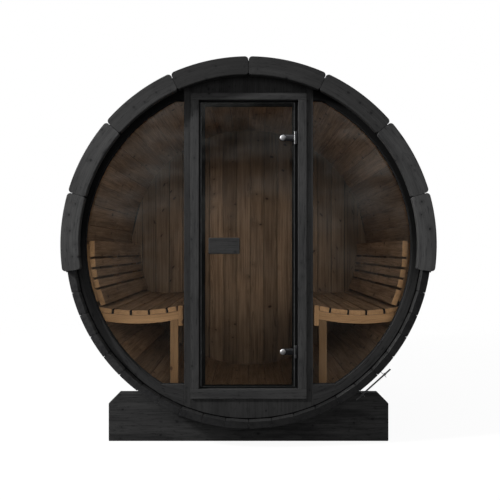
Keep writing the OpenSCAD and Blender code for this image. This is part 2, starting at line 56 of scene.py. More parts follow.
stain = (stain_pale, stain_dark, stain_knot)
year_ring = 0.0052
ring_bend = 0.05
ring_push = 0.014
ring_waves = (0.9, 6.0, 6.0)
fibre_waves = (7.0, 330.0, 330.0)
streak_waves = (1.6, 55.0, 55.0)
blotch_waves = (3.0, 13.0, 13.0)
fleck_waves = (26.0, 130.0, 130.0)
knot_waves = (60.0, 90.0, 90.0)
knot_rim = 0.05
knot_heart = (0.03, 0.08)
knot_growth = 0.07
knot_reach = (0.42, 0.05)
knot_shift = 91.0
mean_tone = 0.55
fibre_depth = 0.0009
log_from = (0.0, -0.07, 0.03)
log_to = (20.0, 0.07, 0.12)
rng = np.random.default_rng(48)


class Measure:
    """A number, place or colour that a finish works out point by point. Its sums, products
    and ratios are Math nodes."""

    def __init__(self, socket):
        self.socket = socket
        self.tree = socket.id_data

    def math(self, operation, other=0.0):
        return node(self.tree, "Math", {0: self, 1: other}, operation=operation)

    def __add__(self, other):
        return self.math("ADD", other)

    def __sub__(self, other):
        return self.math("SUBTRACT", other)

    def __mul__(self, other):
        return self.math("MULTIPLY", other)

    def __truediv__(self, other):
        return self.math("DIVIDE", other)


def node(tree, kind, inputs, out=0, **settings):
    """One output of a new shader node, or a list of them where out is a tuple. Settings go
    on the node, and an input takes a plain value or another node's output."""
    made = tree.nodes.new("ShaderNode" + kind)
    for key, value in settings.items():
        setattr(made, key, value)
    for key, value in inputs.items():
        if isinstance(value, Measure):
            tree.links.new(value.socket, made.inputs[key])
        else:
            made.inputs[key].default_value = value
    if isinstance(out, tuple):
        return [Measure(made.outputs[key]) for key in out]
    return Measure(made.outputs[out])


def scaled(vector, by):
    """A place or colour times another, part by part, or times a number."""
    return node(vector.tree, "VectorMath", {0: vector, 1: by}, operation="MULTIPLY")


def noise(vector, waves, detail=2.0, rough=0.5, shift=(0, 0, 0)):
    """Noise from 0 to 1 with so many waves to the metre along each axis, and a shift."""
    place = node(vector.tree, "VectorMath", {0: vector, 1: waves, 2: shift},
                 operation="MULTIPLY_ADD")
    return node(vector.tree, "TexNoise", {
        "Vector": place, "Scale": 1.0, "Detail": detail, "Roughness": rough})


def ease(value, low, high, to_low=0.0, to_high=1.0):
    """A smooth step: to_low at low and before it, to_high at high and past it."""
    return node(value.tree, "MapRange", {
        "Value": value, "From Min": low, "From Max": high, "To Min": to_low,
        "To Max": to_high}, interpolation_type="SMOOTHSTEP")


def blend(factor, first, second):
    """Two colours mixed by a factor, which counts from 0 to 1."""
    return node(factor.tree, "Mix", {0: factor, 6: first, 7: second}, 2, data_type="RGBA")


def own_place(tree):
    """Where a point of the piece lies."""
    return node(tree, "TexCoord", {}, "Object")


def new_material(name):
    """A new material and its empty node tree."""
    made = bpy.data.materials.new(name)
    made.use_nodes = True
    made.node_tree.nodes.clear()
    return made, made.node_tree


def show(shader):
    """Puts a shader on its material's output."""
    node(shader.tree, "OutputMaterial", {"Surface": shader}, ())


def timber(name, pale, dark, knot, sheen=0.3, rough=0.55, spread=0.5, knots=0.74,
           knot_scale=(6.5, 11.0), rings=0.38, fibres=0.32, streaks=0.42, blotches=0.28,
           flecks=0.0, fade=None):
    """Solid wood cut from a log whose pith runs along the board.

    The grain attribute holds a board's own length, width and depth from the pith. The
    year rings are the distance from the pith, bent by slow noise and pushed round the
    knots, and each ring darkens with the fourth power of its phase. Noise drawn out along
    the board gives fibres, streaks and flecks, slower noise the blotches, and the board
    attribute makes each board lighter or darker. Knots are round cells of a Voronoi
    pattern over length and width, of which most stay empty. A fade brings the brightness
    to a share between two distances from a place, counted along some of the axes.
    """
    made, tree = new_material(name)
    grain = node(tree, "Attribute", {}, "Vector", attribute_name="grain")
    board = node(tree, "Attribute", {}, "Fac", attribute_name="board")
    length, width, depth = node(tree, "SeparateXYZ", {0: grain}, (0, 1, 2))
    spots = node(tree, "CombineXYZ", {
        0: length * knot_scale[0] + board * knot_shift, 1: width * knot_scale[1]})
    away, lot = node(tree, "TexVoronoi", {
        "Vector": spots, "Scale": 1.0, "Randomness": 0.9}, ("Distance", "Color"),
        voronoi_dimensions="2D")
    away = away + noise(grain, knot_waves) * knot_rim
    chance, size = node(tree, "SeparateColor", {0: lot}, (0, 1))
    there = chance.math("GREATER_THAN", knots)
    heart = there * ease(away - size * knot_growth, *knot_heart, 1.0, 0.0)
    swirl = there * ease(away, *knot_reach)
    bend = noise(grain, ring_waves) * ring_bend - ring_bend / 2
    pith = node(tree, "CombineXYZ", {0: width + bend, 1: depth + bend})
    far = node(tree, "VectorMath", {0: pith}, "Value", operation="LENGTH")
    late = ((far + swirl * ring_push) / year_ring).math("FRACT").math("POWER", 4.0)
    fibre = noise(grain, fibre_waves, 3.0, 0.62)
    streak = ease(noise(grain, streak_waves, 4.0, 0.65), 0.32, 0.7)
    blotch = ease(noise(grain, blotch_waves), 0.35, 0.75)
    fleck = ease(noise(grain, fleck_waves, 1.0), 0.6, 0.72)
    tone = (late * rings + ease(fibre, 0.3, 0.75) * fibres + streak * streaks
            + blotch * blotches + fleck * flecks)
    shade = board * spread + (1.0 - spread * mean_tone)
    if fade is not None:
        off = node(tree, "VectorMath", {
            0: scaled(own_place(tree), fade["axes"]), 1: fade["place"]}, "Value",
            operation="DISTANCE")
        shade = shade * ease(off, fade["near"], fade["far"], 1.0, fade["share"])
    wood = scaled(blend(tone, pale, dark), shade)
    wood = blend(swirl * 0.35, wood, dark)
    wood = blend(heart * 0.9, wood, knot)
    bump = node(tree, "Bump", {"Strength": 0.35, "Distance": fibre_depth,
                               "Height": late * 0.5 + fibre * 0.7 - heart * 0.6})
    show(node(tree, "BsdfPrincipled", {
        "Base Color": wood, "Specular IOR Level": sheen, "Normal": bump,
        "Roughness": ease(fibre, 0.2, 0.8, rough - 0.1, rough + 0.16)}))
    return made


def points_at(*parts):
    """Points by their coordinates, each an array, or one number for all the points."""
    return np.stack(np.broadcast_arrays(*parts), -1)


def eased_board(left, right, face, arris, square_ends=False, shoulder=(0, 0, 0)):
    """Sections of a sawn board whose arrises are rounded.

    left and right are the board's two long edges on one face, row by row, and face is
    the vector through its thickness. A section is a rectangle between the edges with
    quarter circles of radius arris at its corners. At an end, a section at the distance
    arris times one less the cosine of a turn is smaller on every side by arris times
    one less its sine, so the end arrises are round as well. A shoulder narrows the front
    of the board by its first value at the left edge and its second at the right edge, to
    the depth of its third.
    """
    left, right, face = (np.asarray(a, float) for a in (left, right, face))
    shrink = np.zeros(len(left))
    if not square_ends:
        turn = np.radians([0.0, 45.0, 90.0])
        reach = arris * (1 - np.cos(turn))
        inset = arris * (1 - np.sin(turn))
        shrink = np.concatenate([inset, shrink[1:-1], inset[::-1]])

        def eased(edge):
            first, last = edge[1] - edge[0], edge[-2] - edge[-1]
            return np.vstack([
                edge[0] + np.outer(reach, first / np.linalg.norm(first)), edge[1:-1],
                edge[-1] + np.outer(reach[::-1], last / np.linalg.norm(last))])

        left, right = eased(left), eased(right)
    wide = np.linalg.norm(right - left, axis=1)[:, None]
    deep = np.linalg.norm(face)
    corner = np.radians([90.0, 45.0, 0.0])
    off = arris * (1 - points_at(np.cos(corner), np.sin(corner)))
    cut_left, cut_right, cut_deep = shoulder

    def front(cut):
        if cut == 0:
            return off
        return np.vstack([off + [cut, 0], [cut, cut_deep], [0, cut_deep]])

    corners = [front(cut_right), off[::-1], off, front(cut_left)[::-1]]
    count = [len(part) for part in corners]
    over, up = (shrink[:, None] + part for part in np.vstack(corners).T)
    over = np.where(np.repeat([True, True, False, False], count), wide - over, over)
    up = np.where(np.repeat([False, True, True, False], count), deep - up, up)
    points = (left[:, None] + (right - left)[:, None] * (over / wide)[..., None]
              + face / deep * up[..., None])
    middle = (left + right) / 2
    run = np.concatenate([[0], np.cumsum(np.linalg.norm(np.diff(middle, axis=0), axis=1))])
    return points, points_at(run[:, None], over - wide / 2, up - deep / 2)


def skin(points):
    """Faces of a tube of sections, turned outwards.

    Neighbouring points of neighbouring sections make a four-sided face and each end
    section one face. If the sum of the triple products of their triangles, which is six
    times the volume, is negative, every face is turned round.
    """
    sections, around = points.shape[:2]
    index = np.arange(sections * around).reshape(sections, around)
    beside = np.roll(index, -1, axis=1)
    sides = np.stack([index[:-1], beside[:-1], beside[1:], index[1:]], axis=-1).reshape(-1, 4)
    ends = np.stack([index[0, ::-1], index[-1]])
    at = points.reshape(-1, 3) - points.reshape(-1, 3).mean(axis=0)
    fans = np.stack([np.broadcast_to(ends[:, :1], (2, around - 2)),
                     ends[:, 1:-1], ends[:, 2:]], axis=-1).reshape(-1, 3)
    parts = np.vstack([sides[:, [0, 1, 2]], sides[:, [0, 2, 3]], fans])
    volume = np.einsum("ij,ij->", at[parts[:, 0]], np.cross(at[parts[:, 1]], at[parts[:, 2]]))
    if volume < 0:
        sides, ends = sides[:, ::-1], ends[:, ::-1]
    return sides, ends


def make(name, solids, materials, replaced=None, finish=None, tones=None, crease=15.0,
         body="cabin"):
    """One object from several closed grids, each a (points, grain) pair.

    Each grid is a board of its own: its grain is moved to a random place in a log, and its
    tone is given, worked out from its points, or drawn from 0 to 1. finish gives the number
    of each face's material from the faces' middles and normals. Edges sharper than crease
    degrees stay sharp.
    """
    if tones is None:
        tones = rng.uniform(size=len(solids))
    if callable(tones):
        tones = [tones(points) for points, _ in solids]
    else:
        tones = np.resize(tones, len(solids))
    places, grains, boards, faces, start = [], [], [], [], 0
    for (points, grain), tone in zip(solids, tones):
        sides, ends = skin(points)
        places.append(points.reshape(-1, 3))
        grains.append(grain.reshape(-1, 3) + rng.uniform(log_from, log_to))
        boards.append(np.broadcast_to(tone, points.shape[:2]).ravel())
        faces += (sides + start).tolist() + (ends + start).tolist()
        start += len(places[-1])
    mesh = bpy.data.meshes.new(name)
    mesh.from_pydata(np.vstack(places), [], faces)
    mesh.attributes.new("grain", "FLOAT_VECTOR", "POINT").data.foreach_set(
        "vector", np.vstack(grains).ravel())
    mesh.attributes.new("board", "FLOAT", "POINT").data.foreach_set(
        "value", np.concatenate(boards))
    for material in materials:
        mesh.materials.append(material)
    if finish is not None:
        middles, normals = np.zeros((2, 3 * len(mesh.polygons)))
        mesh.polygons.foreach_get("center", middles)
        mesh.polygons.foreach_get("normal", normals)
        number = finish(middles.reshape(-1, 3), normals.reshape(-1, 3))
        mesh.polygons.foreach_set("material_index", number.astype(np.int32))
    mesh.polygons.foreach_set("use_smooth", np.ones(len(mesh.polygons), bool))
    mesh.set_sharp_from_angle(angle=np.radians(crease))
    mesh.update()
    made = bpy.data.objects.new(name, mesh)
    bpy.context.collection.objects.link(made)
    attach(made, body)
    if replaced is not None:
        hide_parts(replaced)


def cradle_plank(node_name):
    """A plank between the ground and the least of three heights over x: the horn's flat
    top, the cut corner's slope, and the barrel's underside, which is the axis less the
    root of the radius squared minus x squared. Its grain runs straight."""
    low, high = (np.array(c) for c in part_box(node_name))
    half, top = high[0], high[2]
    bed = barrel_radius + seat_gap
    bite = np.sqrt(bed ** 2 - (axis_height - top) ** 2)
    x = np.unique(np.concatenate([
        np.linspace(-half, half, 9), np.linspace(-bite, bite, 57),
        [cradle_corner - half, half - cradle_corner]]))
    rim = np.minimum.reduce([
        np.full_like(x, top), top - cradle_corner + half - np.abs(x),
        axis_height - np.sqrt(bed ** 2 - x ** 2)])
    points, _ = eased_board(points_at(x, low[1], 0), points_at(x, low[1], rim),
                            (0, high[1] - low[1], 0), cradle_arris)
    return points, points[..., [0, 2, 1]]


stained = timber("charcoal_stained_timber", *stain, sheen=0.2, rough=0.62, spread=0.6,
                 knots=0.62, knot_scale=(13.0, 15.0), rings=0.24, fibres=0.4, streaks=0.3,
                 flecks=0.4)
saddle_stain = timber("saddle_stained_timber", *stain, sheen=0.2, rough=0.62, spread=0.6,
                      knots=0.55, knot_scale=(9.0, 12.0), rings=0.3, fibres=0.45, streaks=0.4,
                      blotches=0.45, flecks=0.5)
for end in ("front", "rear"):
    make(f"{end}_saddle_plank", [cradle_plank(f"{end}_cradle")], [saddle_stain],
         f"{end}_cradle", tones=cradle_tone)


# Staves: forty-eight planed planks with a tongue and a groove, round outside and flat
# inside, with both edges taken off so that a V groove shows at every joint. A croze
# near each end holds the end walls. Stained outside, bare heat treated wood inside. The
# faces in the joints take the dark end grain finish as painted shade, and the bottom
# quarter is darker as painted shade under the barrel and the benches.
stave_total = 48
stave_inner = 0.96
stave_half_length = 0.9
stave_play = 0.0002
stave_edge = (0.0025, 0.009)
stave_edge_knee = (0.4, 0.32)
stave_groove = (0.004, 0.007)
stave_groove_knee = (0.5, 0.4)
stave_end_arris = 0.002
stave_end_knee = 0.3
stave_inner_ring = 0.4
stave_face_limit = 0.85
# The bottom quarter's staves are darker: painted shade under the barrel and the benches.
stave_painted_shade = {"bottom": -0.65}
tongue_half = (0.006, 0.004)
tongue_reach = 0.006
croze_depth = 0.01
croze_span = (0.8047, 0.8503)
brown_pale = (0.41, 0.268, 0.16, 1)
brown_dark = (0.12, 0.071, 0.039, 1)
brown_knot = (0.035, 0.018, 0.010, 1)
brown = (brown_pale, brown_dark, brown_knot)
stave_share = 1.65
end_share = 0.38
stave_fade = {"place": (0, -croze_span[0], 0), "axes": (0, 1, 0), "near": 0.5, "far": 1.6,
              "share": 0.68}
end_fade = {"place": (0.66, 0, 0), "axes": (1, 0, 0), "near": 0.5, "far": 1.5, "share": 2.1}
half_turn = np.pi / stave_total


def stave_outline():
    """Closed outline of the top stave, as (sideways, away from the axis).

    A point on a joint is its distance along the joint's radius times the sine and cosine
    of half a stave's angle, plus its distance past the joint square to that radius. The
    groove is the tongue's mirror image with the play added.
    """
    def joint(along, past):
        return [along * np.sin(half_turn) + past * np.cos(half_turn),
                along * np.cos(half_turn) - past * np.sin(half_turn)]

    def side(reach, play):
        root, tip = np.array(tongue_half) + play
        wide, deep = stave_edge
        knee_wide, knee_deep = np.multiply(stave_edge, stave_edge_knee)
        groove_wide, groove_deep = stave_groove
        bend_wide, bend_deep = np.multiply(stave_groove, stave_groove_knee)
        middle = (barrel_radius + stave_inner) / 2
        face = np.linspace(0, half_turn - (wide + stave_play) / barrel_radius, 4)
        return np.vstack([
            barrel_radius * points_at(np.sin(face), np.cos(face)),
            joint(barrel_radius - knee_deep, -stave_play - knee_wide),
            joint(barrel_radius - deep, -stave_play),
            joint(middle + root, -stave_play), joint(middle + tip, reach),
            joint(middle - tip, reach), joint(middle - root, -stave_play),
            joint(stave_inner + groove_deep, -stave_play),
            joint(stave_inner + bend_deep, -stave_play - bend_wide),
            [stave_inner * np.tan(half_turn) - stave_play - groove_wide, stave_inner]])

    right = side(tongue_reach, 0.0)
    left = side(-tongue_reach - 2 * stave_play, 2 * stave_play)[:0:-1] * [-1, 1]
    return np.vstack([right, left])


def stave_tube():
    """Sections of the top stave along y, and its grain.

    At the ends the outline moves in along its own inward normal to round the arris, and
    inside a croze no point is nearer the axis than the croze's floor.
    """
    outline = stave_outline()
    before, after = np.roll(outline, 1, 0), np.roll(outline, -1, 0)
    inward = (after - before)[:, ::-1] * [1, -1] / np.linalg.norm(after - before, axis=1)[:, None]
    inward *= -1 if np.einsum("ij,ij->", inward, outline - outline.mean(0)) > 0 else 1
    near, far = croze_span
    inset = stave_end_arris * np.array([1, stave_end_knee, 0, 0, 0, 0, 0, 0])
    cut = croze_depth * np.array([0, 0, 0, 0, 1, 1, 0, 0])
    y = np.array([stave_half_length, stave_half_length - stave_end_knee * stave_end_arris,
                  stave_half_length - stave_end_arris, far, far, near, near, stave_inner_ring])
    y, inset, cut = (np.concatenate([v, w[::-1]]) for v, w in
                     ((-y, y), (inset, inset), (cut, cut)))
    flat = outline + inset[:, None, None] * inward
    rise = np.maximum(flat[..., 1], stave_inner + np.where(cut > 0, cut, -1)[:, None])
    return (points_at(flat[..., 0], y[:, None], rise),
            points_at(y[:, None], flat[..., 0], rise - barrel_radius))


def turned(points, angle):
    """Points about the barrel's axis, turned clockwise as seen from the front and lifted
    to the axis."""
    x, y, z = np.moveaxis(points, -1, 0)
    return points_at(x * np.cos(angle) + z * np.sin(angle), y,
                     z * np.cos(angle) - x * np.sin(angle) + axis_height)


def stave_faces(middles, normals):
    """Which finish a face has: bare inside the cabin where it looks at the axis, end grain
    where it looks along the barrel, the same dark finish as painted shade where it looks
    sideways into a joint, stain elsewhere."""
    out = (middles - [0, 0, axis_height]) * [1, 0, 1]
    away = np.linalg.norm(out, axis=1)
    outward = np.einsum("ij,ij->i", out, normals)
    bare = (outward < 0) & (np.abs(middles[:, 1]) < croze_span[0]) & (
        away < stave_inner + stave_edge[1])
    return np.where(bare, 1, np.where(np.abs(outward) / away < stave_face_limit, 2, 0))


def tinted(colour, share):
    """A colour made darker or lighter by a share."""
    return tuple(share * c for c in colour[:3]) + (1,)


heat_treated = timber("heat_treated_timber", *brown, sheen=0.25, rough=0.5, spread=0.6)
stave_brown = timber("heat_treated_staves", *(tinted(colour, stave_share) for colour in brown),
                     sheen=0.25, rough=0.5, knots=0.66, fade=stave_fade)
end_grain_and_joint_shade = timber("stained_end_grain_and_painted_joint_shade", tinted(stain_pale, end_share), stain_knot, stain_knot,
                   sheen=0.1, rough=0.75, spread=0.15, knots=1.0, flecks=0.3, fade=end_fade)
stave_points, stave_grain = stave_tube()
quarter_total = stave_total // 4
for number, quarter in enumerate(("top", "right", "bottom", "left")):
    stave_first = number * quarter_total - quarter_total // 2
    make(f"{quarter}_stave_planks", [
        (turned(stave_points, (2 * i + 1) * half_turn), stave_grain)
        for i in range(stave_first, stave_first + quarter_total)],
        [stained, stave_brown, end_grain_and_joint_shade], f"{quarter}_staves", stave_faces,
        rng.uniform(0, 1, quarter_total) + stave_painted_shade.get(quarter, 0.0))


# Front wall: two tall posts, a header and a sill panel, and the round frames of the
# windows. All are sawn from planks, eased and let into the croze, with a rebate along
# the wall's round that is darkened as painted shade. Stained outside, bare inside, the
# frames' stain darker towards the top as a painted shadow of the fascia.
wall_radius = 0.9696
wall_front = -0.85
wall_back = -0.805
wall_arris = 0.0015
wall_shoulder = (0, 0.0145, 0.012)
post_shoulder = (0.0145, 0.0145, 0.012)
rebate_reach = 1.1 * wall_shoulder[1]
post_span = (0.321, 0.358)
head_top = 0.845
sill_low = -0.845
pane_radius = 0.907
pane_levels = (-0.769, 0.809)
# Heights and tones of the painted fascia shadow on the window frames.
fascia_shadow_levels = (-0.3, 0.08)
fascia_shadow_tones = (0.05, -0.9)
post_levels = (-0.86, -0.7)
post_tones = (0.0, 0.15)
header_tone = -0.15
sill_tone = 0.0
both_sides = (("left", -1), ("right", 1))


def circle_height(x):
    """Half the height of the wall's round at a distance from its middle: the root of the
    radius squared minus that distance squared."""
    return np.sqrt(wall_radius ** 2 - np.square(x))


def flat_board(left, right, y0, y1, arris, **more):
    """An eased board between two edges drawn in the front plane about the barrel's axis."""
    def placed(edge):
        x, z = np.asarray(edge, float).T
        return points_at(x, y0, z + axis_height)

    return eased_board(placed(left), placed(right), (0, y1 - y0, 0), arris, **more)


def wall_plank(x, edge, rim, shoulder):
    """A plank of the wall between two heights over x, with its grain upright."""
    points, grain = flat_board(points_at(x, edge), points_at(x, rim), wall_front, wall_back,
                               wall_arris, shoulder=shoulder)
    return points, grain[..., [1, 0, 2]]


def facing_back(middles, normals):
    """Faces of the front wall that look into the cabin."""
    return normals[:, 1] > 0.5


def wall_faces(middles, normals):
    """Faces that look into the cabin, then the rebate's, which lie behind the front and
    within the shoulder's width of the wall's round and take a dark finish as painted shade."""
    from_axis = np.hypot(middles[:, 0], middles[:, 2] - axis_height)
    rebate = (from_axis > wall_radius - rebate_reach) & (middles[:, 1] > wall_front + wall_arris)
    return np.where(facing_back(middles, normals), 1, 2 * rebate)


def window_edges(inset):
    """Inner and outer edge of a window's frame on the right, from top to bottom.

    The inner edge runs along the flat top, round the pane's circle and along the flat
    bottom; the outer one is the wall's circle at the same share of the way.
    """
    low, high = pane_levels[0] + inset, pane_levels[1] - inset
    ring = pane_radius - inset
    x0 = post_span[1] + seat_gap + max(inset, 0)
    ends = np.arctan2([high, low], np.sqrt(ring ** 2 - np.square([high, low])))
    arc = np.linspace(*ends, 49)[1:-1]
    corner_x = ring * np.cos(ends)
    inner = np.vstack([
        points_at(np.linspace(x0, corner_x[0], 4), high),
        ring * points_at(np.cos(arc), np.sin(arc)),
        points_at(np.linspace(corner_x[1], x0, 4), low)])
    limit = np.arccos(x0 / wall_radius)
    angle = np.concatenate([np.linspace(limit, ends[0], 4), arc,
                            np.linspace(ends[1], -limit, 4)])
    return inner, wall_radius * points_at(np.cos(angle), np.sin(angle))


def painted_fascia_shadow(points):
    """Painted shadow of the fascia on the stain, by height: dark under the fascia, paler below
    its ends.
    """
    return np.interp(points[..., 2] - axis_height, fascia_shadow_levels, fascia_shadow_tones)


def post_tone(points):
    """Tone of a post by height: the sill panel's at the foot, paler above it."""
    return np.interp(points[..., 2] - axis_height, post_levels, post_tones)


# The plain stain without knots; its low tones are painted shade: the fascia's shadow on the
# window frames and the shade on the door stops.
shade_painted_stain = timber("painted_shade_stained_timber", *stain, sheen=0.15, rough=0.68, spread=0.6, knots=1.0,
                rings=0.22, fibres=0.36, streaks=0.4, flecks=0.6)
# The rebate's finish is the stain's dark colour: painted shade in the shadow gap.
rebate_painted_shade = timber("rebate_painted_shade_timber", stain_dark, stain_knot, stain_knot, sheen=0.05,
                     rough=0.8, knots=1.0)
wall_finishes = [stained, heat_treated, rebate_painted_shade]
for side, sign in both_sides:
    post_x = sign * np.linspace(*post_span, 9)
    post_top = circle_height(post_x)
    make(f"{side}_post_plank", [wall_plank(post_x, -post_top, post_top, post_shoulder)],
         wall_finishes, f"{side}_post", wall_faces, post_tone)
    make(f"{side}_round_window_frame", [flat_board(
        *(edge * (sign, 1) for edge in window_edges(0.0)), wall_front, wall_back, wall_arris,
        shoulder=wall_shoulder)], [shade_painted_stain, heat_treated, rebate_painted_shade],
        f"{side}_glass_frame", wall_faces, painted_fascia_shadow)
panel_x = np.linspace(-post_span[0] + seat_gap, post_span[0] - seat_gap, 25)
for name, edge, sign, tone in (("header", head_top, 1, header_tone),
                               ("sill", sill_low, -1, sill_tone)):
    make(f"{name}_panel_board", [
        wall_plank(panel_x, edge, sign * circle_height(panel_x), wall_shoulder)],
        wall_finishes, f"{name}_panel", wall_faces, tone)


# Windows: two fixed panes of 8 mm smoke tinted toughened glass, slid into a groove of
# the frame and the post, with a black rubber gasket pressed in around them.
pane_front = -0.8315
gasket_wide = 0.0045
gasket_proud = 0.003
gasket_arris = 0.001
gasket_colour = (0.005, 0.005, 0.0055, 1)
tint = (0.965, 0.966, 0.967, 1)
gloss_colour = (0.93, 0.94, 0.9, 1)
coat_slant = (0.3, 0.5)
coat_share = (0.042, 0.97)


def smoked_glass(name):
    """Coated tinted glass: most of the light goes straight through, less its tint, and a
    small share is mirrored, which grows to nearly all of it at a low angle."""
    made, tree = new_material(name)
    haze = noise(own_place(tree), (3.0, 3.0, 5.0), 3.0)
    gloss = node(tree, "BsdfGlossy", {
        "Color": gloss_colour, "Roughness": ease(haze, 0.3, 0.8, 0.02, 0.06)})
    clear = node(tree, "BsdfTransparent", {"Color": tint})
    slant = node(tree, "LayerWeight", {"Blend": 0.5}, "Facing")
    share = ease(slant, *coat_slant, *coat_share)
    show(node(tree, "MixShader", {0: share, 1: clear, 2: gloss}))
    return made


def rubber(name, colour):
    """Black rubber with a faint bloom."""
    made, tree = new_material(name)
    bloom = noise(own_place(tree), (40.0, 40.0, 40.0), 3.0)
    show(node(tree, "BsdfPrincipled", {
        "Base Color": blend(ease(bloom, 0.4, 0.8), colour, tinted(colour, 2.0)),
        "Roughness": ease(bloom, 0.2, 0.8, 0.55, 0.8), "Specular IOR Level": 0.3}))
    return made


def dress(node_name, material):
    """Gives a CAD node's own mesh a finish."""
    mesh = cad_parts[node_name].data
    mesh.materials.clear()
    mesh.materials.append(material)


glass = smoked_glass("smoke_tinted_glass")
gasket_black = rubber("gasket_rubber", gasket_colour)
for side, sign in both_sides:
    dress(f"{side}_window", glass)
    make(f"{side}_window_gasket", [flat_board(
        *(window_edges(inset)[0] * (sign, 1) for inset in (0.0, gasket_wide)),
        pane_front - seat_gap - gasket_proud, pane_front - seat_gap, gasket_arris)],
        [gasket_black])


# Back wall: upright boards side by side with a shadow gap at each joint, let into the
# rear croze. Bare heat treated wood inside, brightest in the middle and darker towards
# the round as painted light, charcoal stain outside.
back_inner = 0.805
back_outer = 0.85
board_width = 0.1105
board_shift = 0.014
board_press = 0.0002
board_arris = 0.0012
board_least = 0.012
board_shoulder = (0.0045, 0.0045, 0.02)
board_tones = (0.38, 1.38)
# Painted light on the inside of the back wall: brightest in the middle, darker towards the round.
back_wall_painted_light = {"place": (0, 0, axis_height - 0.03), "axes": (1, 0, 1), "near": 0.25, "far": 0.92,
             "share": 0.4}


def wall_board(x0, x1):
    """An upright board between x0 and x1, each edge as long as the wall's round is high
    there, with a shadow gap along both edges."""
    edges = [[[x, -circle_height(x)], [x, circle_height(x)]] for x in (x0, x1)]
    return flat_board(*edges, back_inner, back_outer, board_arris, shoulder=board_shoulder)


def facing_cabin(middles, normals):
    """Faces of the back wall that look into the cabin, with their eased edges."""
    return normals[:, 1] < -0.3


wall_brown = timber("heat_treated_wall_boards", *brown, sheen=0.25, rough=0.5, spread=0.8,
                    knots=0.62, knot_scale=(9.0, 6.0), rings=0.45, fibres=0.25, streaks=0.5,
                    fade=back_wall_painted_light)
board_limit = 0.999 * wall_radius
joints = board_shift + board_width * np.arange(-9, 10)
joints = np.clip(joints, -board_limit, board_limit)
board_spans = [span for span in zip(joints[:-1], joints[1:]) if np.ptp(span) > board_least]
make("back_wall_boards", [
    wall_board(x0 - board_press, x1 + board_press) for x0, x1 in board_spans],
    [stained, wall_brown], "back_wall", facing_cabin,
    rng.uniform(*board_tones, len(board_spans)))


# Benches: slats laid to a shallow hollow on three curved bearers, with black spacers
# between their front ends, whose black also paints the shade in the gaps, an edge board in
# front of them and square legs cut to the staves. Planed, sanded and heat treated, with
# the faces that look at the front a paler honey wood as painted light.
bench_span = (-0.72, 0.803)
seat_middle = 0.6473
seat_centre = 0.731
seat_radius = 1.101
slat_depth = 0.028
slat_arris = 0.0025
first_slat_gap = 0.0065
first_slat_width = 0.056
second_slat = 0.1189
slat_width = 0.092
slat_step = 0.1025
slat_tones = (0.9, 0.7, 0.85, 0.75, 0.8)
spacer_span = (-0.719, -0.685)
edge_reach = (-0.269, -0.243)
edge_levels = (-0.459, -0.342)
bearer_radii = (1.1303, 1.1773)
bearer_thick = 0.036
bearer_tone = 0.85
leg_thick = 0.046
leg_tones = {"left": -0.1, "right": -0.96}
honey_pale = (0.56, 0.325, 0.152, 1)
honey_dark = (0.3, 0.163, 0.07, 1)
honey_knot = (0.10, 0.047, 0.021, 1)


def seat_slat(reach, width, sign, span=bench_span):
    """A slat whose middle lies at a reach from the seat's lowest line, leaning by the
    angle whose sine is that reach over the hollow's radius."""
    lean = np.arcsin(reach / seat_radius)
    along = np.array([np.cos(lean), 0, np.sin(lean)])
    down = np.array([np.sin(lean), 0, -np.cos(lean)])
    top = np.array([seat_middle, 0, seat_centre + axis_height]) + seat_radius * down
    ends = np.array([[0, y, 0] for y in span])
    turn = np.array([sign, 1, 1])
    return eased_board((top - along * width / 2 + ends) * turn,
                       (top + along * width / 2 + ends) * turn,
                       down * slat_depth * turn, slat_arris)


def hollow(x, radius):
    """Height of a curve under the seat: its centre's less the root of the radius squared
    minus the sideways distance squared."""
    return seat_centre - np.sqrt(radius ** 2 - np.square(x - seat_middle))


def bearer_edge(radius):
    """A bearer's edge along a hollow's curve, from the edge board to the staves' face."""
    x = np.linspace(bearer_inner, stave_face, 4001)
    held = x ** 2 + hollow(x, radius) ** 2 < stave_face ** 2
    x = np.linspace(bearer_inner, x[held].max(), 25)
    return points_at(x, hollow(x, radius))


def facing_front(middles, normals):
    """Faces that look at the front wall, which take the paler honey wood as painted light."""
    return normals[:, 1] < -0.7


def thirds(thick):
    """The spans along y of three like pieces: at the front, in the middle, at the back."""
    front, back = bench_span
    return [(y, y + thick) for y in (front, (front + back - thick) / 2, back - thick)]


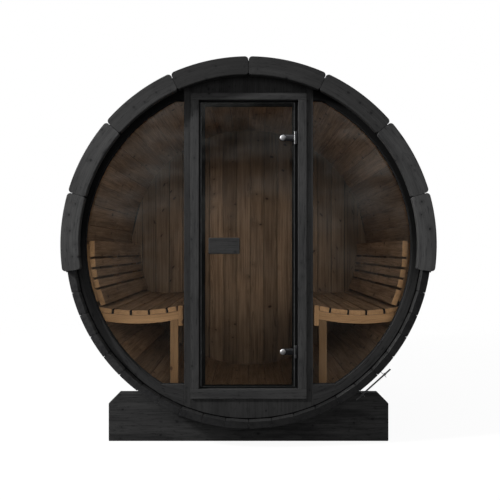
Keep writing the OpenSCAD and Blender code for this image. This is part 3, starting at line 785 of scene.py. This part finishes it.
# Faces of the bench pieces that look at the front take the paler honey wood: painted light.
bench_wood = [stave_brown, timber("painted_light_bench_timber", honey_pale, honey_dark, honey_knot,
                                   rough=0.48, spread=0.35, knots=0.82)]
edge_edges = points_at(seat_middle + np.reshape(edge_reach, (2, 1)), edge_levels)
bearer_inner = seat_middle + edge_reach[1] + seat_gap
stave_face = stave_inner - seat_gap
bearer_edges = [bearer_edge(radius) for radius in bearer_radii]
leg_x = np.array([bearer_inner, bearer_inner + leg_thick])
leg_foot = -np.sqrt(stave_face ** 2 - leg_x ** 2)
leg_top = hollow(leg_x, bearer_radii[1] + seat_gap)
leg_edges = np.stack([points_at(leg_x, leg_foot), points_at(leg_x, leg_top)], 1)
slat_reach = edge_reach[1] + second_slat + slat_step * np.arange(4)
for side, sign in both_sides:
    make(f"{side}_bench_slats", [
        seat_slat(edge_reach[1] + first_slat_gap + first_slat_width / 2, first_slat_width, sign)]
        + [seat_slat(reach, slat_width, sign) for reach in slat_reach],
        bench_wood, f"{side}_seat_slats", facing_front, slat_tones)
    # Black spacers between the slats' front ends, whose black also paints the shade in the gaps.
    make(f"{side}_slat_spacers_painted_shade", [
        seat_slat(reach - slat_step / 2, slat_step - slat_width - 2 * seat_gap, sign,
                  spacer_span) for reach in slat_reach], [gasket_black])
    make(f"{side}_bench_bearers", [
        flat_board(*(edge * (sign, 1) for edge in bearer_edges), *span, wall_arris)
        for span in thirds(bearer_thick)],
        bench_wood, f"{side}_seat_bearers", facing_front, bearer_tone)
    make(f"{side}_bench_edge_board", [flat_board(
        *edge_edges * (sign, 1), *bench_span, slat_arris)],
        bench_wood, f"{side}_seat_edge", facing_front)
    make(f"{side}_bench_legs", [
        flat_board(*leg_edges * (sign, 1), *span, wall_arris) for span in thirds(leg_thick)],
        bench_wood, f"{side}_seat_legs", facing_front, leg_tones[side])


# Backrests: five boards over each bench, each square to the barrel's radius, screwed
# from behind to three battens that are sawn to the staves. The boards' front ends take the
# paler wood as painted light, and their edges beside the gaps a dark finish as painted shade.
batten_inner = 0.917
batten_thick = 0.044
batten_inset = 0.03
batten_ends = np.radians([1, -2])
back_depth = 0.03
back_widths = np.array([0.093, 0.048, 0.048, 0.048, 0.093])
back_step = 0.011
back_first = 19.16
back_tones = np.array([0.9, 1.15, 0.95, 1.1, 1.0])
back_shade = {"left": -0.5, "right": 0.0}


def back_face(width):
    """Distance of a board's front face from the axis, when the edges of its back lie on the
    battens' circle: the root of their radius squared minus half the width squared, less
    the board's depth."""
    return np.sqrt((batten_inner - seat_gap) ** 2 - (width / 2) ** 2) - back_depth


def backrest_angles():
    """Middle angle of each board below the horizontal: each lies the two boards' half
    angles and the gap's angle above the one before, measured at the front face."""
    away = back_face(back_widths[0])
    half = np.arctan(back_widths / 2 / away)
    step = half[:-1] + half[1:] + back_step / away
    return np.radians(back_first) - np.concatenate([[0], np.cumsum(step)])


def rest_faces(middles, normals):
    """Front ends, painted light, then the edges beside a gap, which look up or down and get
    painted shade.
    """
    return np.where(facing_front(middles, normals), 1, 2 * (np.abs(normals[:, 2]) > 0.75))


def back_board(angle, width, sign):
    """A board square to the radius at an angle."""
    out = np.array([np.cos(angle), 0, -np.sin(angle)])
    down = np.array([-np.sin(angle), 0, -np.cos(angle)])
    ends = np.array([[0, y, axis_height] for y in bench_span])
    turn = np.array([sign, 1, 1])
    face = out * back_face(width) + ends
    return eased_board((face - down * width / 2) * turn, (face + down * width / 2) * turn,
                       out * back_depth * turn, slat_arris)


# The third finish is the dark brown on the edges beside the gaps: painted shade.
rest_wood = bench_wood + [timber("painted_shade_gap_edge", brown_dark, brown_knot, brown_knot,
                                 sheen=0.1, rough=0.7)]
back_angles = backrest_angles()
batten_turn = np.linspace(*(back_angles[[0, -1]] + batten_ends), 17)
batten_line = points_at(np.cos(batten_turn), -np.sin(batten_turn))
batten_y = (bench_span[0] + batten_inset, sum(bench_span) / 2 - batten_thick / 2,
            bench_span[1] - batten_inset - batten_thick)
for side, sign in both_sides:
    make(f"{side}_backrest_boards", [
        back_board(angle, width, sign) for angle, width in zip(back_angles, back_widths)],
        rest_wood, f"{side}_backrest", rest_faces, back_tones + back_shade[side])
    make(f"{side}_backrest_bearers", [flat_board(
        *(radius * batten_line * (sign, 1) for radius in (batten_inner, stave_face)),
        y, y + batten_thick, wall_arris) for y in batten_y],
        bench_wood, f"{side}_backrest_battens", facing_front)


# Door frame: two jambs, a head and a sill, planed square, screwed to the posts and a
# little proud of the wall. Stop beads behind the door, darkened as painted shade, carry
# a soft rubber seal, whose black by the jambs also stands for the gap's shade, with a
# paler lip around the edge of the glass, whose paleness is painted light.
frame_front = -0.864
doorway_half = 0.275
doorway_low = -0.792
doorway_high = 0.808
jamb_tone = 0.6
rail_tone = 0.5
stop_front = -0.82
stop_wide = 0.032
stop_top = 0.028
stop_bottom = 0.015
stop_arris = 0.002
stop_painted_shade = -0.75
seal_inset = 0.0005
seal_wide = 0.006
seal_deep = 0.006
seal_arris = 0.0025
lip_wide = 0.007
lip_deep = 0.004
lip_arris = 0.001
lip_painted_light_colour = (0.045, 0.046, 0.047, 1)
jamb_edge = post_span[0] - seat_gap


def bar(x, z, y, arris, upright=False):
    """A straight board over a span of x, of height and of y, laid level or upright."""
    corners = points_at(np.reshape(x, (2, 1)), z)
    left, right = corners if upright else corners.swapaxes(0, 1)
    return flat_board(left, right, *y, arris)


def surround(inner, outer, y, arris, gap=0.0):
    """Four bars between two rectangles, each a span of x and of height: two uprights as
    tall as the outer one, and two level bars between them with a gap at their ends."""
    (left, right), (low, high) = inner
    return [bar(x, outer[1], y, arris, upright=True) for x in zip(inner[0], outer[0])] + [
        bar((left + gap, right - gap), z, y, arris)
        for z in ((high, outer[1][1]), (outer[1][0], low))]


def doorway(inset_x, inset_low, inset_high):
    """The doorway's rectangle, made smaller at the sides, below and above."""
    return ((inset_x - doorway_half, doorway_half - inset_x),
            (doorway_low + inset_low, doorway_high - inset_high))


frame_span = (frame_front, wall_back)
for side, sign in both_sides:
    make(f"{side}_door_jamb", [bar(
        (sign * doorway_half, sign * jamb_edge), (doorway_low, doorway_high), frame_span,
        wall_arris, upright=True)],
        [stained, heat_treated], f"{side}_jamb", facing_back, jamb_tone)
for name, levels in (("head", (doorway_high, head_top)), ("sill", (sill_low, doorway_low))):
    make(f"door_{name}_board", [bar((-jamb_edge, jamb_edge), levels, frame_span, wall_arris)],
         [stained, heat_treated], f"door_{name}", facing_back, rail_tone)
# The stops' low tone is painted shade.
make("door_stop_beads", surround(
    doorway(stop_wide, stop_bottom, stop_top), doorway(0, 0, 0), (stop_front, wall_back),
    stop_arris, seat_gap),
    [shade_painted_stain, heat_treated], "door_stops", facing_back, stop_painted_shade)
seal_line = seal_inset + seal_wide
seal_hole = doorway(seal_line, seal_line, seal_line)
make("door_seal", surround(
    seal_hole, doorway(seal_inset, seal_inset, seal_inset),
    (stop_front - seal_deep, stop_front - seat_gap), seal_arris),
    [gasket_black])
leaf_box = np.array(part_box("door_glass"))[:, [0, 2]].T - [[0], [axis_height]]
lip_box = [(max(low - lip_wide, hole[0] + seat_gap), min(high + lip_wide, hole[1] - seat_gap))
           for (low, high), hole in zip(leaf_box, seal_hole)]
# A rubber lip whose pale colour stands for the lit strip beyond the glass's edge: painted light.
make("door_seal_lip", surround(
    leaf_box, lip_box, (stop_front - lip_deep, stop_front - seat_gap), lip_arris),
    [rubber("lip_rubber_painted_light", lip_painted_light_colour)])


# Door: one leaf of tinted glass with polished edges, a stained wooden plate on a block
# as the handle on each face, and two hinges clamped to the glass: polished arms with
# cast buttons, satin knuckles and near black leaves on the jamb, their black painted shade.
door_front = -0.838
door_back = -0.83
hinge_x, hinge_y = (0.258, -0.845)
hinge_levels = (0.6, -0.588)
knuckle_radius = 0.006
knuckle_half = 0.017
knuckle_bevel = 0.0008
knuckle_gap = 0.001
leaf_half = 0.035
leaf_gap = 0.001
leaf_arris = 0.001
tab_reach = 0.002
tab_half = 0.004
arm_start = 0.19
arm_nose = 0.028
arm_nose_half = 0.004
arm_half = 0.017
arm_thick = 0.005
arm_arris = 0.0012
arm_end = 0.002
button_radius = 0.0155
button_foot = 0.004
button_crown = 0.003
button_rise = 0.005
button_bevel = 0.001
handle_middle = -0.135
handle_size = (0.172, 0.09)
handle_block = 0.014
handle_plate = 0.02
handle_lip = 0.02
handle_arris = (0.004, 0.001)
handle_tone = 0.35
chrome_colour = (0.25, 0.25, 0.255, 1)
mirror_colour = (0.13, 0.13, 0.135, 1)
button_colour = (0.55, 0.55, 0.56, 1)
# The leaf's near black stands for its shade beside the jamb: painted shade.
leaf_painted_shade_colour = (0.03, 0.03, 0.032, 1)


def polished_metal(name, colour, rough):
    """Metal with a fine brushed drift in its gloss."""
    made, tree = new_material(name)
    drift = noise(own_place(tree), (90.0, 900.0, 90.0), 3.0)
    show(node(tree, "BsdfPrincipled", {
        "Base Color": blend(ease(drift, 0.35, 0.8), colour, tinted(colour, 0.7)),
        "Metallic": 1.0, "Roughness": ease(drift, 0.2, 0.8, rough, rough + 0.15)}))
    return made


def lathe(profile, start, axis, around=24):
    """A turned solid: each (radius, height) of the profile is a circle about the axis,
    which starts at a side square to it."""
    profile, axis = np.asarray(profile, float), np.asarray(axis, float)
    side = np.cross(axis, [0.3, 0.5, 0.81])
    side /= np.linalg.norm(side)
    up = np.cross(axis, side)
    turn = np.linspace(0, 2 * np.pi, around, endpoint=False)
    ring = np.outer(np.cos(turn), side) + np.outer(np.sin(turn), up)
    points = (np.asarray(start, float) + profile[:, 1, None, None] * axis
              + profile[:, 0, None, None] * ring)
    return points, points.copy()


def rod_profile(radius, height, bevel):
    """A cylinder's profile with both rims bevelled."""
    return [(radius - bevel, 0), (radius, bevel), (radius, height - bevel),
            (radius - bevel, height)]


def button_profile():
    """A button's profile: a short cylinder under a dome, a quarter of an ellipse that ends
    in a small flat crown."""
    turn = np.linspace(0, np.pi / 2, 6)
    dome = points_at(button_crown + (button_radius - button_crown) * np.cos(turn),
                     button_foot + button_rise * np.sin(turn))
    return np.vstack([[button_radius, 0], [button_radius, button_foot], dome])


def handle_solids(face, out):
    """A handle's plate and block, on the side of the glass that out points to."""
    half_w, half_h = (s / 2 for s in handle_size)
    block = face + out * handle_block
    return [bar((handle_middle - half_w + lip, handle_middle + half_w - lip),
                (lip - half_h, half_h - lip), span, arris)
            for lip, span, arris in zip(
                (0, handle_lip), ((block, block + out * handle_plate), (face, block)),
                handle_arris)]


def hinge_arm(z):
    """A hinge's moving pieces: an arm whose nose is a quarter circle wide, its knuckle, and
    a button on each face of the glass."""
    middle = z + axis_height
    turn = np.linspace(0, np.pi / 2, 7)
    x = np.append(arm_start + button_radius - arm_nose + arm_half * (1 - np.cos(turn)),
                  hinge_x - arm_end)
    half = np.append(np.maximum(arm_half * np.sin(turn), arm_nose_half), arm_half)
    outside = door_front - seat_gap
    return [
        flat_board(points_at(x, z - half), points_at(x, z + half), outside - arm_thick,
                   outside, arm_arris),
        lathe(rod_profile(knuckle_radius, 2 * knuckle_half, knuckle_bevel),
              (hinge_x, hinge_y, middle - knuckle_half), (0, 0, 1)),
        lathe(button_profile(), (arm_start, outside - arm_thick, middle), (0, -1, 0), 32),
        lathe(rod_profile(button_radius, arm_thick, button_bevel),
              (arm_start, door_back + seat_gap, middle), (0, 1, 0), 32)]


def hinge_leaf(z):
    """A hinge's fixed pieces: the leaf on the jamb, and above and below the moving knuckle
    a fixed one with the tab that joins it to the leaf."""
    solids = [bar((hinge_x + knuckle_radius + leaf_gap, doorway_half - seat_gap),
                  (z - leaf_half, z + leaf_half),
                  (hinge_y - knuckle_radius, hinge_y + knuckle_radius), leaf_arris,
                  upright=True)]
    tall = leaf_half - knuckle_half - knuckle_gap
    for sign in (-1, 1):
        low = z + sign * (leaf_half + knuckle_half + knuckle_gap) / 2 - tall / 2
        solids.append(lathe(rod_profile(knuckle_radius, tall, knuckle_bevel),
                            (hinge_x, hinge_y, low + axis_height), (0, 0, 1)))
        solids.append(bar((hinge_x, hinge_x + knuckle_radius + tab_reach), (low, low + tall),
                          (hinge_y - tab_half, hinge_y + tab_half), knuckle_bevel,
                          upright=True))
    return solids


def arm_faces(middles, normals):
    """The flat arm is polished, the round button at its end cast, the knuckle satin."""
    arm = middles[:, 0] < hinge_x - knuckle_radius
    button = arm & (middles[:, 1] < door_front - arm_thick - button_bevel)
    return np.where(button, 2, arm)


def leaf_faces(middles, normals):
    """The leaf on the jamb is near black as painted shade, its knuckles satin."""
    return 3 * (middles[:, 0] > hinge_x + knuckle_radius - leaf_gap)


dress("door_glass", glass)
make("outside_handle_plate", handle_solids(door_front, -1), [stained],
     "outside_handle", tones=handle_tone, body="door")
make("inside_handle_plate", handle_solids(door_back, 1), [stained],
     "inside_handle", body="door")
hinge_metals = [polished_metal("satin_hinge_metal", chrome_colour, 0.3),
                polished_metal("polished_hinge_metal", mirror_colour, 0.06),
                polished_metal("cast_button_metal", button_colour, 0.45),
                polished_metal("painted_shade_leaf_metal", leaf_painted_shade_colour, 0.4)]
make("hinge_arm_set", [solid for z in hinge_levels for solid in hinge_arm(z)], hinge_metals,
     "hinge_arms", arm_faces, crease=30.0, body="door")
make("hinge_leaf_set", [solid for z in hinge_levels for solid in hinge_leaf(z)], hinge_metals,
     "hinge_plates", leaf_faces, crease=30.0)


# Hoops: a stainless band round each end, pulled tight by a threaded rod through two
# folded ears, with a nut on the outside of each ear.
hoop_middle = 0.85
hoop_outer = 1.0019
hoop_half = 0.0125
ear_spread = 0.155
ear_tall = 0.05
ear_foot = 0.036
ear_bend = 0.006
ear_sheet = 0.003
ear_arris = 0.0008
rod_radius = 0.0048
rod_length = 0.255
rod_from_axis = 1.034
thread_pitch = 0.00125
thread_depth = 0.0006
tension_turn = np.radians(138)
nut_flats = 0.013
nut_thick = 0.007
nut_gap = 0.005
nut_chamfer = 0.0008
nut_face = 0.92
steel_colour = (0.3, 0.3, 0.305, 1)


def threaded_rod(around=12):
    """A rod whose radius falls from its crest by the thread's depth times a triangle wave
    of the distance along it over the pitch, less the share of the turn."""
    along = np.arange(-rod_length / 2, rod_length / 2, thread_pitch / 4)
    turn = np.linspace(0, 2 * np.pi, around, endpoint=False)
    wave = (along[:, None] / thread_pitch - turn / (2 * np.pi)) % 1.0
    radius = rod_radius - thread_depth * np.abs(2 * wave - 1)
    return points_at(along[:, None], radius * np.cos(turn),
                     rod_from_axis + radius * np.sin(turn))


def ear_sections(sign):
    """A folded ear: a foot on the band, a bend and an upright, as one strip of steel of an
    even thickness drawn across the band's width."""
    lean = np.arctan(ear_spread / 2 / rod_from_axis)
    base = hoop_outer + seat_gap
    step = np.linspace(0, np.pi / 2, 5)

    def strip_line(depth):
        bend = ear_bend - depth
        x, z = np.vstack([[ear_foot, base + depth], points_at(
            ear_bend - bend * np.sin(step), base + ear_bend - bend * np.cos(step)),
            [depth, base + ear_tall]]).T
        return points_at(sign * (x * np.cos(lean) + z * np.sin(lean)), -hoop_half,
                         z * np.cos(lean) - x * np.sin(lean))

    return eased_board(strip_line(0.0), strip_line(ear_sheet), (0, 2 * hoop_half, 0),
                       ear_arris)[0]


def hex_nut(sign):
    """A six-sided nut with both faces chamfered."""
    turn = np.radians(np.arange(0, 360, 60))
    corner = nut_flats / 2 / np.cos(np.pi / 6)
    reach = np.array([nut_face, 1, 1, nut_face])[:, None] * corner
    along = sign * (ear_spread / 2 + nut_gap + np.array(
        [0, nut_chamfer, nut_thick - nut_chamfer, nut_thick]))
    return points_at(along[:, None], reach * np.cos(turn),
                     rod_from_axis + reach * np.sin(turn))


steel = polished_metal("brushed_hoop_steel", steel_colour, 0.3)
tension_solids = [threaded_rod()] + [
    part(sign) for sign in (-1, 1) for part in (ear_sections, hex_nut)]
for end, sign in (("front", -1), ("rear", 1)):
    dress(f"{end}_hoop", steel)
    tensioner = [turned(p, tension_turn) + [0, sign * hoop_middle, 0] for p in tension_solids]
    make(f"{end}_hoop_tensioner", [(p, p.copy()) for p in tensioner], [steel],
         f"{end}_tensioner", crease=25.0)


# Fascia: eight curved planks on each end, sawn to the arc, their corners well rounded
# and their arrises eased, screwed over the stave ends of the upper half.
fascia_total = 8
fascia_radii = (0.918, 1.018)
fascia_lift = 0.007
fascia_drop = 8.4
fascia_thick = 0.04
fascia_gap = 0.002
fascia_rounds = (0.012, 0.019)
fascia_first_turn = 0.05
fascia_arris = 0.005
fascia_tones = (0.9, 0.85, 0.15, -0.35, 0.0, 0.05, 0.85, 1.4)
fascia_step = np.radians(180 + 2 * fascia_drop) / fascia_total


def fascia_plank(middle, y0):
    """A curved plank about its middle angle, measured clockwise from the top.

    A distance d in from its end, a rounded corner of radius r takes r less the root of r
    squared minus (r minus d) squared off the plank's edge.
    """
    half = fascia_step / 2
    inner, outer = fascia_radii
    deep = max(fascia_rounds) * (1 - np.cos(np.linspace(fascia_first_turn, np.pi / 2, 9)))
    angle = half - (deep + fascia_gap / 2) / np.mean(fascia_radii)
    angle = np.concatenate([-angle, np.linspace(-angle[-1], angle[-1], 15)[1:-1], angle[::-1]])
    depth = (half - np.abs(angle)) * np.mean(fascia_radii) - fascia_gap / 2

    def taken(r):
        return r - np.sqrt(r ** 2 - np.square(r - np.minimum(depth, r)))

    def ring(radius):
        at = angle + middle
        return points_at(radius * np.sin(at), radius * np.cos(at) + fascia_lift)

    return flat_board(
        ring(inner + taken(fascia_rounds[0])), ring(outer - taken(fascia_rounds[1])),
        y0, y0 + fascia_thick, fascia_arris, square_ends=True)


fascia_middles = (np.arange(fascia_total) - (fascia_total - 1) / 2) * fascia_step
for end, y0 in (("front", -stave_half_length - fascia_thick), ("rear", stave_half_length)):
    make(f"{end}_fascia_planks", [fascia_plank(middle, y0) for middle in fascia_middles],
         [stained], f"{end}_fascia", tones=fascia_tones)


# Roof covering: courses of bitumen shingles with mineral granules, nailed over the
# hoops on the upper staves, each course lapping the one below, with caps on the ridge.
roof_inner = 1.0022
course = 0.145
course_lap = 1.9
ridge_left = 0.03
ridge_gap = 0.001
tab_width = 0.3
tab_slot = 0.005
tab_thick = 0.0022
tab_least = 0.03
tab_lifts = (0.0058, 0.0028)
tab_drop = 0.003
tab_sag = 0.001
cap_width = 0.26
cap_step = 0.2
cap_least = 0.05
cap_turn = 0.13
cap_lift = 0.0075
cap_tilt = 0.003
granule_size = 520.0
granule_depth = 0.0012
felt_colours = ((0.022, 0.022, 0.023, 1), (0.07, 0.07, 0.072, 1))


def shingle(span, turns, lifts, sag=0.0, tilt=0.0):
    """A tab over a span along the roof, from its lower edge's turn from the top to its
    upper edge's.

    Its radius falls evenly from its lower to its upper edge, its lower edge is cut with a
    slight sag, and its section across the roof is a flat strip, whose first end is higher
    by the tilt.
    """
    y0, y1 = span
    share = np.linspace(0, 1, 7)[:, None]
    y = np.array([y0, (y0 + y1) / 2, y1, y1, (y0 + y1) / 2, y0])
    cut = np.array([0, sag, 0, 0, sag, 0])
    under = np.array([0, 0, 0, 1, 1, 1]) * tab_thick - tilt * (y1 - y) / (y1 - y0)
    turn = turns[0] + (turns[1] - turns[0]) * share + cut * (1 - share)
    radius = roof_inner + lifts[0] + (lifts[1] - lifts[0]) * share - under
    return (points_at(radius * np.sin(turn), y, radius * np.cos(turn) + axis_height),
            points_at(y, turn, radius))


def granules(name, dark, pale):
    """Bitumen felt with mineral granules: small cells of mixed greys, some bright, over a
    shade that differs from tab to tab."""
    made, tree = new_material(name)
    place = own_place(tree)
    board = node(tree, "Attribute", {}, "Fac", attribute_name="board")
    away, lot = node(tree, "TexVoronoi", {"Vector": place, "Scale": granule_size},
                     ("Distance", "Color"))
    chance = node(tree, "SeparateColor", {0: lot})
    weather = noise(place, (5.0, 5.0, 5.0), 3.0)
    mix = board * 0.35 + chance * 0.45 + weather * 0.5 - 0.3
    bump = node(tree, "Bump", {"Strength": 0.6, "Distance": granule_depth, "Height": away})
    show(node(tree, "BsdfPrincipled", {
        "Base Color": blend(mix, dark, pale), "Specular IOR Level": 0.25, "Normal": bump,
        "Roughness": ease(chance, 0.0, 1.0, 0.8, 0.95)}))
    return made


eave = np.radians(90 + fascia_drop)
courses = int(eave // (course / barrel_radius))
exposed = (eave - ridge_left) / courses
tabs = []
for sign in (-1, 1):
    for row in range(courses):
        low_turn = eave - row * exposed
        high_turn = max(low_turn - course_lap * exposed, ridge_gap)
        row_start = -stave_half_length - (row % 2) * tab_width / 2
        for y in np.arange(row_start, stave_half_length, tab_width):
            span = np.clip([y + tab_slot / 2, y + tab_width - tab_slot / 2],
                           -stave_half_length, stave_half_length)
            if np.ptp(span) > tab_least:
                drop = rng.uniform(0, tab_drop)
                tabs.append(shingle(span, (sign * (low_turn - drop), sign * high_turn),
                                    tab_lifts, sign * rng.uniform(-tab_sag, tab_sag)))
for y in np.arange(-stave_half_length, stave_half_length - cap_least, cap_step):
    tabs.append(shingle((y, min(y + cap_width, stave_half_length)), (-cap_turn, cap_turn),
                        (cap_lift, cap_lift), tilt=cap_tilt))
make("roof_shingles", tabs, [granules("mineral_shingle", *felt_colours)],
     "roof_covering", crease=30.0)


# Studio: a plain white floor that keeps the object's shadow and fades into a white
# surround, a soft sky brighter overhead with faint clouds for the panes to mirror, a lamp
# at the upper left, a weak one in front, and the camera.
white = (1, 1, 1, 1)
camera_place = (0.0, -4.29, 1.095)
camera_lens = 44.68
camera_shift = (0.0029, 0.0015)
floor_half = 9.0
floor_fade = (2.0, 7.0)
floor_glow = 0.93
floor_seen = (0.075, 0.075, 0.075, 1)
floor_colour = (0.4, 0.4, 0.4, 1)
sky_rise = (-0.1, 0.9)
sky_levels = (0.36, 0.7)
zenith_rise = (0.3, 0.9)
cloud_waves = (11.0, 11.0, 27.0)
cloud_shift = (21.2, 0.0, 0.0)
cloud_edges = (0.4, 0.66)
cloud_rise = (-0.1, 0.2)
cloud_levels = (0.06, 0.44)
cloud_middle = 0.55
cloud_dark = 0.02
haze_beside = (0.07, 0.15)
haze_rise = (0.0, 0.1)
haze_levels = (0.02, 0.085)
lamp_aim = np.array([0.0, -0.7, 1.1])
lamps = (("key_lamp", (-6.2, -3.9, 5.1), 0.8, 900.0, True),
         ("fill_lamp", (0.6, -7.6, 2.4), 3.0, 150.0, False))

floor_finish, tree = new_material("white_floor")
from_middle = node(tree, "VectorMath", {0: own_place(tree)}, "Value", operation="LENGTH")
camera_ray, glossy_ray = node(tree, "LightPath", {}, ("Is Camera Ray", "Is Glossy Ray"))
seen = node(tree, "AddShader", {
    0: node(tree, "Emission", {"Color": white, "Strength": floor_glow}),
    1: node(tree, "BsdfDiffuse", {"Color": floor_seen})})
matt = node(tree, "BsdfDiffuse", {"Color": floor_colour})
show(node(tree, "MixShader", {
    0: glossy_ray.math("MAXIMUM", ease(from_middle, *floor_fade)),
    1: node(tree, "MixShader", {0: camera_ray, 1: matt, 2: seen}),
    2: node(tree, "BsdfTransparent", {"Color": white})}))
floor_mesh = bpy.data.meshes.new("studio_floor")
floor_mesh.from_pydata([(-floor_half, -floor_half, 0), (floor_half, -floor_half, 0),
                        (floor_half, floor_half, 0), (-floor_half, floor_half, 0)], [],
                       [(0, 1, 2, 3)])
floor_mesh.materials.append(floor_finish)
floor = bpy.data.objects.new("studio_floor", floor_mesh)
bpy.context.collection.objects.link(floor)

world = bpy.data.worlds.new("white_surround")
bpy.context.scene.world = world
world.use_nodes = True
tree = world.node_tree
tree.nodes.clear()
camera_ray, glossy_ray = node(tree, "LightPath", {}, ("Is Camera Ray", "Is Glossy Ray"))
heading = node(tree, "TexCoord", {}, "Generated")
across, rise = node(tree, "SeparateXYZ", {0: heading}, (0, 2))
beside = ease(across.math("ABSOLUTE"), *haze_beside)
haze = beside * ease(rise, *haze_rise, *haze_levels)
cloud = ease(noise(heading, cloud_waves, 4.0, 0.6, cloud_shift), *cloud_edges)
cloud = cloud * ease(rise, *cloud_rise, *cloud_levels)
cloud = cloud * (beside * (1.0 - cloud_middle) + cloud_middle)
mirrored = cloud + haze + ease(rise, *zenith_rise) + cloud_dark
sky = node(tree, "Mix", {0: glossy_ray, 2: ease(rise, *sky_rise, *sky_levels), 3: mirrored},
           data_type="FLOAT")
backdrop = node(tree, "Background", {"Color": white, "Strength": camera_ray.math("MAXIMUM", sky)})
node(tree, "OutputWorld", {"Surface": backdrop}, ())

for name, place, size, power, in_gloss in lamps:
    lamp_data = bpy.data.lights.new(name, "AREA")
    lamp_data.shape = "DISK"
    lamp_data.size = size
    lamp_data.energy = power
    lamp = bpy.data.objects.new(name, lamp_data)
    lamp.location = place
    lamp.visible_glossy = in_gloss
    lamp.rotation_euler = Vector(lamp_aim - place).to_track_quat("-Z", "Y").to_euler()
    bpy.context.collection.objects.link(lamp)

camera_data = bpy.data.cameras.new("photo_camera")
camera_data.lens = camera_lens
camera_data.shift_x, camera_data.shift_y = camera_shift
camera = bpy.data.objects.new("photo_camera", camera_data)
camera.location = camera_place
camera.rotation_euler = (np.pi / 2, 0, 0)
bpy.context.collection.objects.link(camera)
bpy.context.scene.camera = camera
bpy.context.scene.view_settings.view_transform = "Standard"
